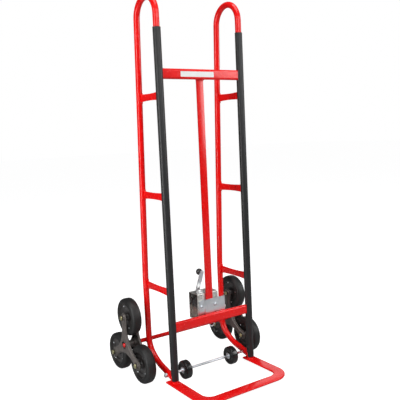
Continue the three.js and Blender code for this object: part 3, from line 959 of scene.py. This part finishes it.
class TROLLEY_OT_blank_label(bpy.types.Operator):
    """Stick a blank white label on the front of the upper cross bar"""
    bl_idname = "trolley.blank_label"
    bl_label = "Blank label"

    def execute(self, context):
        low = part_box("upper_crossbar")[0]
        left, right = -100 * MM, 56 * MM
        bottom, top = low.z + 9 * MM, low.z + 30 * MM
        r = 2.5 * MM
        board = Board((0, low.y - 0.35 * MM, 0), X, Z)
        label = plate("blank_white_label", board, (left + r, bottom), [
            (right - r, bottom), (right - r, bottom + r, 90, 4),
            (right, top - r), (right - r, top - r, 90, 4),
            (left + r, top), (left + r, top - r, 90, 4),
            (left, bottom + r), (left + r, bottom + r, 90, 4)], -0.3 * MM)
        fit_out(label, "blank_label", "root", slot=None)
        return {"FINISHED"}


# ---------- axles ----------
def chamfered(start, end, radius, chamfer):
    """The side of a turned bar, with its ends chamfered."""
    return [(start, radius - chamfer), (start + chamfer, radius),
            (end - chamfer, radius), (end, radius - chamfer)]


def from_face(face, *points):
    """Profile points given in millimetres: how far in from a face, and the radius."""
    return [(face - inset * MM, radius * MM) for inset, radius in points]


def back_of(side):
    """The mirror image of a profile, to come back along."""
    return [(-station, radius) for station, radius in reversed(side)]


def turned_ring(name, centre, side, steps, *crown):
    """A ring turned from a closed profile: one side, what lies between, and the side's mirror image."""
    return lathe(name, centre, X, side[0], [*side[1:], *crown, *back_of(side), side[0]], steps)


class TROLLEY_OT_main_axle(bpy.types.Operator):
    """Turn the painted main axle and the washers that keep the clusters on it"""
    bl_idname = "trolley.main_axle"
    bl_label = "Main axle"

    def execute(self, context):
        half = extent("main_axle").x / 2
        radius = extent("main_axle").z / 2
        axle = lathe("painted_axle", AXLE, X, (-half, 0), [
            *chamfered(-half, half, radius, 1.5 * MM), (half, 0)], 40)
        fit_out(axle, "red_paint", "root", "main_axle")
        bore = radius + 0.2 * MM
        lip = 0.8 * MM
        for hand, side in HANDS.items():
            node = f"{hand}_axle_retainer"
            h = extent(node).x / 2
            r = extent(node).z / 2
            washer = lathe(f"{hand}_push_on_washer", middle(node), X * side, (-h, bore), [
                (-h, r - lip), (-h + lip, r), (h - lip, r), (h - lip, r - 2 * lip),
                (h, bore + 1.5 * lip), (h, bore), (-h, bore)], 40)
            fit_out(washer, "blackened_steel", "root", node, slot="bright_zinc")
        return {"FINISHED"}


def thread_profile(start, end, radius, depth, pitch):
    """Stations and radii of a row of thread crests."""
    points = []
    turns = int(abs(end - start) / pitch)
    step = (end - start) / turns
    for i in range(turns):
        points.append((start + step * (i + 0.5), radius - depth))
        points.append((start + step * (i + 1), radius))
    return points


def hexagon_nut(name, centre, axis, across, height, bore=None):
    """A hexagon nut with its corners eased and its bore cut."""
    half = axis * height / 2
    nut = rod(name, centre - half, centre + half, across / math.sqrt(3), 6)
    if bore:
        cut(nut, rod("bore", centre - half * 1.5, centre + half * 1.5, bore, 24))
    return ease_edges(nut, 0.6 * MM, 2, 40)


class TROLLEY_OT_heel_axle(bpy.types.Operator):
    """Make the heel rod, its nuts, and the two heel rollers with their bushes"""
    bl_idname = "trolley.heel_axle"
    bl_label = "Heel axle"

    def execute(self, context):
        half = extent("heel_rod").x / 2
        radius = extent("heel_rod").z / 2
        thread = 16 * MM
        crests = thread_profile(-half + 0.6 * MM, -half + thread, radius, 0.5 * MM, 1.5 * MM)
        end = [(-half, radius - MM), *crests]
        shaft = lathe("threaded_heel_rod", ROD, X, (-half, 0), [*end, *back_of(end), (half, 0)], 24)
        fit_out(shaft, "bright_zinc", "root", "heel_rod")
        for hand, side in HANDS.items():
            node = f"{hand}_rod_nut"
            bore = radius + 0.1 * MM
            nut = hexagon_nut(
                f"{hand}_hexagon_nut", middle(node), X * side, 17 * MM, extent(node).x, bore)
            fit_out(nut, "bright_zinc", "root", node)
            self.roller(hand)
        return {"FINISHED"}

    def roller(self, hand):
        body = f"{hand}_heel_roller"
        node = f"{hand}_heel_wheel"
        centre = middle(node)
        h = extent(node).x / 2
        r = extent(node).z / 2
        round_off = 6 * MM
        # the roller's side, from its bore out to where the tread rounds off
        side = from_face(
            h, (0, 10), (0, 13), (1.5, 14.2), (2.5, 16), (2.5, 25), (1.2, 27), (0, 28.5), (0, 32))
        wheel = turned_ring(
            f"{hand}_roller", centre, side, 64, (h - round_off, r - round_off, 90, 7),
            (-h + round_off, r), (-h + round_off, r - round_off, 90, 7))
        fit_out(wheel, "heel_tread", body, node)
        node = f"{hand}_heel_bush"
        reach = extent(node).x / 2
        collar = extent(node).z / 2
        bore = 5.3 * MM
        chamfer = 0.8 * MM
        side = [(-reach, bore), (-reach, collar - chamfer), (-reach + chamfer, collar)]
        bush = turned_ring(f"{hand}_roller_bush", middle(node), side, 32)
        side = from_face(-h, (0.9, 6.3), (0.9, 12.8), (-0.4, 13.2))
        fuse(bush, turned_ring("flange", centre, side, 32))
        fit_out(bush, "bright_zinc", body, node)


# ---------- wheel clusters ----------
def wheel_place(hand, number):
    return middle(f"{hand}_tyre_{number}")


def hub_place(hand):
    return Vector((wheel_place(hand, 1).x, AXLE.y, AXLE.z))


def spider_moves(sizes):
    """The start and moves of the three-armed outline: round arm ends joined by wide hollows."""
    gap = sizes.arm_end - sizes.waist
    away = (sizes.orbit ** 2 - gap ** 2) / (sizes.orbit + 2 * gap)
    third = math.radians(60)
    reach = math.degrees(math.atan2(away * math.sin(third), away * math.cos(third) - sizes.orbit))
    moves = []
    for arm in (90, 210, 330):
        for turn, far, degrees in ((arm, sizes.orbit, 2 * reach), (arm + 60, away, 120 - 2 * reach)):
            out = math.radians(turn)
            moves.append((far * math.cos(out), far * math.sin(out), degrees, 16))
    first = math.radians(90 - reach)
    return (sizes.arm_end * math.cos(first), sizes.orbit + sizes.arm_end * math.sin(first)), moves


def spider(name, node, counterbore):
    """A formed spider: flat border, steep step, raised middle, with bosses at the hub and the bolts."""
    sizes = bpy.context.scene.trolley_clusters
    low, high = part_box(node)
    near, far = X * low.x, X * high.x
    past = X * 2 * MM
    centre = Vector((0, AXLE.y, AXLE.z))
    start, moves = spider_moves(sizes)
    piece = draw(name, Board(centre + far - X * sizes.step, Y, Z), start, moves)
    everything()
    bpy.ops.mesh.remove_doubles(threshold=1e-5)
    bpy.ops.mesh.edge_face_add()
    bpy.ops.mesh.normals_make_consistent(inside=False)
    pick("FACE", lambda face: True)
    mesh = bmesh.from_edit_mesh(piece.data)
    if next(iter(mesh.faces)).normal.x < 0:
        bpy.ops.mesh.flip_normals()
    bpy.ops.mesh.inset(thickness=sizes.border, depth=0)
    bpy.ops.mesh.inset(thickness=1.6 * MM, depth=sizes.step)
    give_wall(piece, sizes.wall)
    ease_edges(piece, 0.9 * MM, 3, 35)
    bosses = [rod("hub_boss", centre + near, centre + far, 23.5 * MM, 48)]
    holes = []
    for number in WHEELS:
        bolt = wheel_place("right", number)
        bolt.x = 0
        bosses.append(rod("bolt_boss", bolt + near, bolt + far - X * 0.5 * MM, 11 * MM, 32))
        holes.append(rod("bolt_hole", bolt + near - past, bolt + far + past, 5.4 * MM, 24))
    axle = extent("main_axle").z / 2 + 0.6 * MM
    holes.append(rod("axle_hole", centre + near - past, centre + far + past, axle, 40))
    if counterbore:
        holes.append(rod("recess", centre + near + 2 * past, centre + far + past, 17 * MM, 48))
    fuse(piece, *bosses)
    return cut(piece, *holes)


class TROLLEY_OT_spiders(bpy.types.Operator):
    """Form the outer and inner spiders and the hub tubes between them"""
    bl_idname = "trolley.spiders"
    bl_label = "Spiders"

    def execute(self, context):
        outer = spider("right_outer_arms", "right_outer_spider", True)
        plain = spider("plain_arms", "right_outer_spider", False)
        inner = mirrored(plain, "right_inner_arms", about=wheel_place("right", 1).x)
        discard(plain)
        for name, piece in (("outer", outer), ("inner", inner)):
            for hand, made in (("left", mirrored(piece, f"left_{name}_arms")), ("right", piece)):
                fit_out(made, "dark_casting", f"{hand}_cluster", f"{hand}_{name}_spider", smooth=30)
        bore = extent("main_axle").z / 2 + 0.5 * MM
        collar = 12 * MM
        for hand in HANDS:
            node = f"{hand}_hub_tube"
            half = extent(node).x / 2
            radius = extent(node).z / 2
            side = [(-half, bore), (-half, radius), (-half + collar, radius),
                    (-half + collar + MM, radius - 2.5 * MM)]
            tube = turned_ring(f"{hand}_hub_sleeve", hub_place(hand), side, 40)
            fit_out(tube, "dark_casting", f"{hand}_cluster", node)
        return {"FINISHED"}


class TROLLEY_OT_wheels(bpy.types.Operator):
    """Mould the tyres and press the riveted rims of the six climbing wheels"""
    bl_idname = "trolley.wheels"
    bl_label = "Climbing wheels"

    def execute(self, context):
        first = wheel_place("left", 1)
        tyre = self.tyre(first)
        rim = self.rim(first)
        rivets = self.rivets(first)
        turns = {"left": (22, -11, -11), "right": (33, 8, -25)}
        for hand in HANDS:
            for number in WHEELS:
                body = f"{hand}_wheel_{number}"
                place = wheel_place(hand, number)
                shift = place - first
                for pattern, noun, node in (
                        (tyre, "moulded_tyre", "tyre"), (rim, "pressed_rim", "rim")):
                    piece = copied(pattern, f"{hand}_{noun}_{number}", shift)
                    fit_out(piece, f"black_{node}", body, f"{hand}_{node}_{number}", smooth=40)
                heads = copied(rivets, f"{hand}_rim_rivets_{number}", shift)
                turned_by(heads, turns[hand][number - 1], X, place)
                fit_out(heads, "bright_zinc", body, smooth=60)
        discard(tyre, rim, rivets)
        return {"FINISHED"}

    def tyre(self, place):
        # one sidewall, from the rim's seat out to the crown
        side = from_face(
            extent("left_tyre_1").x / 2, (2.2, 54.8), (0.8, 56), (0.3, 58.6), (1.2, 59.2), (1.2, 60.8),
            (0, 61.5), (0, 64.2), (1.2, 64.9), (1.2, 66.2), (0.1, 66.9), (0.4, 69.4), (1.8, 72.2),
            (4.2, 74.8), (7, 76.6), (7.4, 76.2), (8.4, 76.3), (8.8, 77.1), (12, 77.75))
        return turned_ring("tyre_pattern", place, side, 96, (0, extent("left_tyre_1").z / 2))

    def rim(self, place):
        side = from_face(
            extent("left_rim_1").x / 2, (0, 5.4), (0, 9), (0.9, 9.6), (0.9, 12.2), (2, 13.4), (9, 15),
            (11, 17.5), (11, 33), (10.2, 35), (8, 37), (7.6, 39), (7.6, 50), (6.6, 51.5), (3, 52.6),
            (1.6, 53.4), (1.6, 54.2), (3.2, 54.7))
        return turned_ring("rim_pattern", place, side, 96)

    def rivets(self, place):
        """Domed rivet heads on both faces of the first rim."""
        sizes = bpy.context.scene.trolley_clusters
        land = extent("left_rim_1").x / 2 - 7.8 * MM
        dome = from_face(0, (0, 3.3), (-0.8, 3.1), (-1.7, 2.2), (-2.2, 1.1), (-2.3, 0))
        heads = []
        for i in range(sizes.rivets):
            angle = 2 * math.pi * i / sizes.rivets + math.pi / 4
            out = Vector((0, math.cos(angle), math.sin(angle))) * sizes.rivet_orbit
            for face in (X * -1, X):
                heads.append(lathe("rivet", place + out + face * land, face, (0, 0), dome, 14))
        return gather(*heads)


class TROLLEY_OT_wheel_bolts(bpy.types.Operator):
    """Make the six wheel bolts with their hexagons and dark washers"""
    bl_idname = "trolley.wheel_bolts"
    bl_label = "Wheel bolts"

    def execute(self, context):
        washers = self.washers()
        bolt = self.bolt()
        first = wheel_place("right", 1)
        for hand in HANDS:
            make = mirrored if hand == "left" else copied
            for number in WHEELS:
                shift = wheel_place("right", number) - first
                body = f"{hand}_cluster"
                piece = make(bolt, f"{hand}_axle_bolt_{number}", shift)
                fit_out(piece, "yellow_zinc", body, f"{hand}_wheel_bolt_{number}", smooth=30)
                piece = make(washers, f"{hand}_bolt_washers_{number}", shift)
                fit_out(piece, "blackened_steel", body, slot="yellow_zinc", smooth=30)
        discard(washers, bolt)
        return {"FINISHED"}

    def bolt(self):
        """Head outside, nut inside, with the end of the thread standing out of the nut."""
        low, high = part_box("right_wheel_bolt_1")
        centre = wheel_place("right", 1)
        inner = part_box("right_inner_spider")[0].x
        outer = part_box("right_outer_spider")[1].x
        washer = 1.8 * MM
        standing_out = 2.5 * MM
        let_in = 2 * MM
        across = 17 * MM
        radius = 5 * MM

        def nut(name, start, end):
            heart = Vector(((start + end) / 2, centre.y, centre.z))
            return hexagon_nut(name, heart, X, across, end - start)

        head = nut("bolt_pattern", outer + washer, high.x)
        crown = lathe("crown", Vector((high.x, centre.y, centre.z)), X, (-1.2 * MM, 0), from_face(
            0, (1.2, 7.6), (0.05, 6.2), (0.05, 0)), 24)
        tail = nut("nut", low.x + standing_out, inner - washer)
        reach = inner - low.x
        start = 0.3 * MM - reach
        shank = outer - inner + let_in
        thread = lathe("thread", Vector((inner, centre.y, centre.z)), X, (-reach, 0), [
            (-reach, 4.3 * MM), *thread_profile(start, let_in, radius, 0.45 * MM, 1.4 * MM),
            (shank, radius), (shank, 0)], 20)
        return gather(head, crown, tail, thread)

    def washers(self):
        centre = wheel_place("right", 1)
        profile = from_face(
            0, (-0.05, 11), (-0.6, 11.5), (-1.4, 11.5), (-1.8, 11), (-1.8, 5.2), (-0.05, 5.2))
        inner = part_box("right_inner_spider")[0].x
        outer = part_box("right_outer_spider")[1].x
        rings = []
        for x, axis in ((inner, -X), (outer, X)):
            seat = Vector((x, centre.y, centre.z))
            rings.append(lathe("washer", seat, axis, profile[-1], profile, 32))
        return gather(*rings)


# ---------- strap winder ----------
SPOOL = middle("strap_roll")


def hole(at, start, end, radius, sides=24):
    """A cutter along Y through a place."""
    return rod("hole", (at.x, start, at.z), (at.x, end, at.z), radius, sides)


def bolt_holes(low, high):
    return [hole(middle(f"{hand}_plate_bolt"), low, high, 4.3 * MM) for hand in HANDS]


class TROLLEY_OT_winder_housing(bpy.types.Operator):
    """Fold the winder's housing, open at both ends"""
    bl_idname = "trolley.winder_housing"
    bl_label = "Winder housing"

    def execute(self, context):
        low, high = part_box("winder_housing")
        box = block("folded_housing", low, high)
        edit(box)
        pick("FACE", lambda face: abs(face.normal.x) > 0.9)
        bpy.ops.mesh.delete(type="ONLY_FACE")
        pick("EDGE", lambda edge: runs_along(edge, X))
        bpy.ops.mesh.bevel(offset=3.5 * MM, segments=6, affect="EDGES")
        give_wall(box, context.scene.trolley_winder.wall)
        cut(box, hole(SPOOL, low.y - MM, high.y + MM, 8.4 * MM, 36),
            *bolt_holes(low.y - MM, low.y + 5 * MM),
            hole(middle("pawl_pin"), high.y - 5 * MM, high.y + MM, 4.2 * MM))
        fit_out(box, "galvanised", "root", "winder_housing")
        return {"FINISHED"}


class TROLLEY_OT_winder_plate(bpy.types.Operator):
    """Bend the plate that holds the winder to the post, with its two bolts"""
    bl_idname = "trolley.winder_plate"
    bl_label = "Winder plate"

    def execute(self, context):
        thickness = context.scene.trolley_winder.plate
        low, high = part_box("winder_plate")
        front = low.y + thickness / 2
        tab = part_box("winder_housing")[0].y - WELD_GAP - thickness / 2
        joggle = (-25 * MM, -19 * MM)
        ease = Vector((1, 0.6)) * MM
        bend = 6 * MM
        last = high.x - thickness / 2
        strip = draw("joggled_plate", Board((0, 0, low.z), X, Y), (low.x, tab), [
            (joggle[0], tab), (joggle[0] + ease.x, tab - ease.y),
            (joggle[1] - ease.x, front + ease.y), (joggle[1], front),
            (last - bend, front), (last - bend, front + bend, 90, 8), (last, high.y)])
        everything()
        extrude(Z * (high.z - low.z))
        give_wall(strip, thickness, 0)
        face_outwards(strip)
        cutters = bolt_holes(low.y - MM, high.y)
        tall = (high.z - low.z) / MM
        slit = -22.8 * MM
        # each cutter: its lowest x and z, then its size in millimetres
        for x, z, size in ((high.x - 3.2 * MM, high.z - 20 * MM, (9, 40, 4)),
                           (low.x - MM, high.z - 3 * MM, (20, 40, 6)),
                           (slit, low.z - MM, (1.4, 2, 0.58 * tall))):
            corner = Vector((x, low.y - MM, z))
            cutters.append(block("notch", corner, corner + Vector(size) * MM))
        cut(strip, *cutters)
        ease_edges(strip, 0.5 * MM, 3, 40)
        fit_out(strip, "bright_zinc", "root", "winder_plate")
        for hand in HANDS:
            self.bolt(hand)
        return {"FINISHED"}

    def bolt(self, hand):
        """A flanged hexagon bolt with its nut inside the housing."""
        node = f"{hand}_plate_bolt"
        low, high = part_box(node)
        foot = middle(node)
        foot.y = low.y
        run = (high.y - low.y) / MM
        flange = lathe(f"{hand}_flanged_bolt", foot, Y, (0, 0), from_face(
            0, (0, 4.5), (-0.9, 5.4), (-3.4, 5.6), (-3.6, 8), (-4.9, 8.6), (-4.9, 4),
            (5 - run, 4), (5 - run, 0)), 28)
        head = hexagon_nut("head", foot + Y * 2.1 * MM, Y, 11.5 * MM, 3.6 * MM)
        nut = hexagon_nut("nut", foot + Y * (run - 2.5) * MM, Y, 13 * MM, 4.6 * MM)
        for piece in (head, flange):
            cut(piece, hole(foot, foot.y - MM, foot.y + 2.2 * MM, 3 * MM, 6))
        fit_out(gather(flange, head, nut), "bright_zinc", "root", node, smooth=30)


class TROLLEY_OT_spool(bpy.types.Operator):
    """Make the spool shaft and wind the strap on it"""
    bl_idname = "trolley.spool"
    bl_label = "Spool"

    def execute(self, context):
        low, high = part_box("spool_shaft")
        square = 7 * MM
        half = Vector((5, 0, 5)) * MM
        run = high.y - low.y - square
        end = Vector((SPOOL.x, high.y, SPOOL.z))
        shaft = lathe("turned_spool", Vector((SPOOL.x, low.y, SPOOL.z)), Y, (0, 0), [
            *chamfered(0, run, (high.x - low.x) / 2, 0.8 * MM), (run, 0)], 40)
        stub = block("square_end", end - half - Y * (square + MM), end + half)
        fuse(shaft, ease_edges(stub, 0.6 * MM, 2))
        fit_out(shaft, "bright_zinc", "winder_spool", "spool_shaft", smooth=30)
        self.wind(context.scene.trolley_winder.strap)
        return {"FINISHED"}

    def wind(self, thickness):
        """A strap wound outwards in half turns, each a little wider than the last."""
        low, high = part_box("strap_roll")
        outer = (high.x - low.x) / 2 - thickness
        pitch = thickness * 1.16
        radius = 8.3 * MM + thickness
        place = Vector((SPOOL.x + radius, low.y, SPOOL.z))
        strap = dot("wound_strap", place)
        bender = Bender(place, Z, -Y)
        while radius < outer:
            bender.bend(radius, 180, 14)
            radius += pitch / 2
        everything()
        extrude(Y * (high.y - low.y))
        give_wall(strap, thickness, 0)
        fit_out(face_outwards(strap), "webbing", "winder_spool", "strap_roll", smooth=50)


def polar(radius, degrees):
    return radius * math.cos(math.radians(degrees)), radius * math.sin(math.radians(degrees))


class TROLLEY_OT_ratchet(bpy.types.Operator):
    """Cut the ratchet wheel, and shape the pawl with its pin"""
    bl_idname = "trolley.ratchet"
    bl_label = "Ratchet and pawl"

    def execute(self, context):
        teeth = context.scene.trolley_winder.teeth
        low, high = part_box("ratchet_wheel")
        tip = 22 * MM
        root = 17 * MM
        moves = []
        for i in range(teeth):
            base = i * 360 / teeth
            moves += [polar(root, base + 5), polar(root + MM, base + 12)]
            moves.append(polar(tip, base + 360 / teeth))
        board = Board((SPOOL.x, high.y, SPOOL.z), X, Z)
        wheel = plate("cut_ratchet", board, polar(tip, 0), moves, high.y - low.y)
        cut(wheel, hole(SPOOL, low.y - MM, high.y + MM, 8.1 * MM, 32))
        ease_edges(wheel, 0.3 * MM, 2, 40)
        fit_out(wheel, "bright_zinc", "winder_spool", "ratchet_wheel", smooth=30)
        self.pawl()
        return {"FINISHED"}

    def pawl(self):
        low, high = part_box("pawl")
        pin = middle("pawl_pin")
        nose = [(11.8, 21.5), (14.7, 11.1), (20, 12.3), (19, 20)]
        reach = Vector(polar(6 * MM, 22))
        start = (pin.x + reach.x, pin.z + reach.y)
        lever = plate("hooked_pawl", Board((0, high.y, 0), X, Z), start, [
            (pin.x, pin.z, 180, 12), *((SPOOL.x + x * MM, SPOOL.z + z * MM) for x, z in nose), start],
            high.y - low.y)
        cut(lever, hole(pin, low.y - MM, high.y + MM, 3.3 * MM))
        ease_edges(lever, 0.4 * MM, 2, 40)
        fit_out(lever, "bright_zinc", "pawl", "pawl", smooth=30)
        run = extent("pawl_pin").y / MM
        foot = Vector((pin.x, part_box("pawl_pin")[0].y, pin.z))
        rivet = lathe("pawl_rivet", foot, Y, (0, 0), from_face(
            0, (0, 3.4), (-0.6, 4), (-4.7, 4), (-4.8, 3), (2 - run, 3),
            (2 - run, 5.2), (1.3 - run, 5.4), (0.4 - run, 3.6), (-run, 0)), 28)
        fit_out(rivet, "bright_zinc", "root", "pawl_pin", smooth=40)


class TROLLEY_OT_crank(bpy.types.Operator):
    """Cut the flat crank arm and turn its ball knob"""
    bl_idname = "trolley.crank"
    bl_label = "Crank"

    def execute(self, context):
        winder = context.scene.trolley_winder
        low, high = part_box("crank_arm")
        along = Vector((math.cos(winder.crank_angle), 0, math.sin(winder.crank_angle)))
        half = 9.5 * MM
        reach = winder.crank_length
        board = Board((SPOOL.x, low.y, SPOOL.z), along, along.cross(Y))
        arm = plate("flat_crank", board, (0, half), [
            (0, 0, 180, 16), (reach, -half), (reach, 0, 180, 16), (0, half)], low.y - high.y)
        corner = Vector((5.2 * MM, (high.y - low.y) / 2 + 9 * MM, 5.2 * MM))
        socket = Vector((SPOOL.x, (low.y + high.y) / 2, SPOOL.z))
        cut(arm, block("square", socket - corner, socket + corner))
        ease_edges(arm, 0.7 * MM, 3, 40)
        fit_out(arm, "bright_zinc", "winder_spool", "crank_arm")
        self.knob(board.point(reach, 0))
        return {"FINISHED"}

    def knob(self, end):
        low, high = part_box("crank_knob")
        ball = 14 * MM
        neck = 6 * MM
        heart = high.y - low.y - ball
        lowest = math.degrees(math.asin(neck / ball))
        moves = [(0, neck), (heart - ball * math.cos(math.radians(lowest)), neck),
                 (heart, 0, -(180 - lowest), 18)]
        knob = lathe("ball_knob", Vector((end.x, low.y, end.z)), Y, (0, 0), moves, 40)
        fit_out(knob, "black_knob", "winder_spool", "crank_knob", smooth=50)
        seat = Vector((end.x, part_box("crank_arm")[0].y, end.z))
        rivet = lathe("knob_rivet", seat, Y, (-1.6 * MM, 0), from_face(
            0, (1.5, 2.2), (1.0, 3.6), (-0.1, 4.4), (-0.1, 0)), 24)
        fit_out(rivet, "bright_zinc", "winder_spool", smooth=50)


class TROLLEY_OT_anchor_eye(bpy.types.Operator):
    """Bend the eye under the lower cross bar that takes the strap's hook"""
    bl_idname = "trolley.anchor_eye"
    bl_label = "Anchor eye"

    def execute(self, context):
        wire = 2.5 * MM
        radius = 11.5 * MM
        centre = middle("anchor_eye")
        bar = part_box("lower_crossbar")[0].z + MM
        drop = bar - (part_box("anchor_eye")[0].z + wire + radius)
        start = Vector((centre.x - radius, centre.y, bar))
        eye = ring_of_edges("bent_eye", start, -Z, wire, 18)
        bender = Bender(start, -Z, -Y)
        bender.feed(drop)
        bender.bend(radius, 180, 20)
        bender.feed(drop)
        fit_out(cap_ends(eye), "bright_zinc", "root", "anchor_eye", smooth=50)
        return {"FINISHED"}


# ---------- stage ----------
class TROLLEY_OT_stage(bpy.types.Operator):
    """Set the camera, the pale floor and the soft studio lights"""
    bl_idname = "trolley.stage"
    bl_label = "Stage"

    def execute(self, context):
        studio = context.scene.trolley_studio
        self.camera(context.scene, studio)
        self.floor(context.scene.trolley_tones.floor)
        self.surroundings(context.scene, studio.world)
        heart = (CAD_BOX[0] + CAD_BOX[1]) / 2
        # name: (azimuth, height, distance, width, height of the panel, watts)
        panels = {
            "key_panel": (47, 1.9, 3.2, 1.3, 1.7, 42),
            "left_strip": (-82, 1.0, 1.7, 0.4, 2.2, 24),
            "front_fill": (-12, 2.6, 3.6, 1.6, 1.0, 42),
            "top_panel": (0, 3.4, 0.6, 2.0, 2.0, 45),
            "rear_panel": (134, 1.4, 3.2, 0.9, 1.0, 3),
        }
        for name, (azimuth, height, distance, width, tall, watts) in panels.items():
            self.panel(name, heart, azimuth, height, distance, width, tall, watts)
        context.scene.view_settings.view_transform = "Standard"
        return {"FINISHED"}

    def camera(self, scene, studio):
        deselect_all()
        bpy.ops.object.camera_add()
        camera = bpy.context.object
        turn = (Matrix.Rotation(studio.yaw, 4, "Z") @ Matrix.Rotation(math.pi / 2 - studio.pitch, 4, "X")
                @ Matrix.Rotation(studio.roll, 4, "Z"))
        camera.matrix_world = Matrix.Translation(studio.eye) @ turn
        camera.data.lens = studio.lens
        camera.data.sensor_width = 36
        scene.camera = camera

    def floor(self, colour):
        deselect_all()
        bpy.ops.mesh.primitive_plane_add(size=60)
        floor = named("floor")
        recipe = Recipe("pale_floor")
        clouds = recipe.noise(0.6, 2)
        recipe.feed("Base Color", recipe.blend(clouds, shade(colour, 0.97), colour))
        recipe.set(roughness=0.9, specular_ior_level=0.1, emission_color=(1, 1, 1, 1))
        seen = recipe.node("ShaderNodeLightPath", {}).outputs["Is Camera Ray"]
        recipe.feed("Emission Strength", recipe.spread(seen, 0, 0.93, 0, 1))
        floor.data.materials.append(recipe.material)

    def surroundings(self, scene, strength):
        """Even light all round, with a white backdrop where the camera looks past everything."""
        world = bpy.data.worlds.new("studio")
        scene.world = world
        world.use_nodes = True
        nodes = world.node_tree.nodes
        links = world.node_tree.links
        even = nodes["Background"]
        even.inputs["Strength"].default_value = strength
        even.inputs["Color"].default_value = (0.97, 0.98, 1, 1)
        white = nodes.new("ShaderNodeBackground")
        white.inputs["Color"].default_value = (1, 1, 1, 1)
        ray = nodes.new("ShaderNodeLightPath")
        mix = nodes.new("ShaderNodeMixShader")
        links.new(ray.outputs["Is Camera Ray"], mix.inputs[0])
        links.new(even.outputs[0], mix.inputs[1])
        links.new(white.outputs[0], mix.inputs[2])
        links.new(mix.outputs[0], nodes["World Output"].inputs[0])

    def panel(self, name, heart, azimuth, height, distance, width, tall, watts):
        deselect_all()
        angle = math.radians(azimuth)
        across, back = distance * math.sin(angle), distance * math.cos(angle)
        place = Vector((heart.x + across, heart.y - back, height))
        turn = (place - heart).to_track_quat("Z", "Y").to_euler()
        bpy.ops.object.light_add(type="AREA", location=place, rotation=turn)
        light = bpy.context.object
        light.name = name
        light.data.shape = "RECTANGLE"
        light.data.size = width
        light.data.size_y = tall
        light.data.energy = watts


# ---------- panel, registration and the run ----------
STEPS = (
    TROLLEY_OT_side_tubes, TROLLEY_OT_rail_sleeves, TROLLEY_OT_side_brackets, TROLLEY_OT_crossbars,
    TROLLEY_OT_toe, TROLLEY_OT_welds, TROLLEY_OT_blank_label, TROLLEY_OT_main_axle, TROLLEY_OT_heel_axle,
    TROLLEY_OT_spiders, TROLLEY_OT_wheels, TROLLEY_OT_wheel_bolts, TROLLEY_OT_winder_housing,
    TROLLEY_OT_winder_plate, TROLLEY_OT_spool, TROLLEY_OT_ratchet, TROLLEY_OT_crank,
    TROLLEY_OT_anchor_eye, TROLLEY_OT_stage,
)
GROUPS = {
    "trolley_tubes": TROLLEY_PG_tubes,
    "trolley_clusters": TROLLEY_PG_clusters,
    "trolley_winder": TROLLEY_PG_winder,
    "trolley_tones": TROLLEY_PG_tones,
    "trolley_studio": TROLLEY_PG_studio,
}


class TROLLEY_PT_sidebar(bpy.types.Panel):
    """The trolley's sizes, colours and building steps"""
    bl_idname = "TROLLEY_PT_sidebar"
    bl_label = "Stair climbing trolley"
    bl_space_type = "VIEW_3D"
    bl_region_type = "UI"
    bl_category = "Trolley"

    def draw(self, context):
        for step in STEPS:
            self.layout.operator(step.bl_idname)
        for name, group in GROUPS.items():
            box = self.layout.box()
            for field in group.__annotations__:
                box.prop(getattr(context.scene, name), field)


def register():
    for kind in (*GROUPS.values(), *STEPS, TROLLEY_PT_sidebar):
        bpy.utils.register_class(kind)
    for name, group in GROUPS.items():
        setattr(bpy.types.Scene, name, PointerProperty(type=group))


def unregister():
    for name in GROUPS:
        delattr(bpy.types.Scene, name)
    for kind in (TROLLEY_PT_sidebar, *reversed(STEPS), *reversed(GROUPS.values())):
        bpy.utils.unregister_class(kind)


def main():
    register()
    for step in STEPS:
        family, name = step.bl_idname.split(".")
        getattr(getattr(bpy.ops, family), name)()
    deselect_all()


if __name__ == "__main__":
    main()
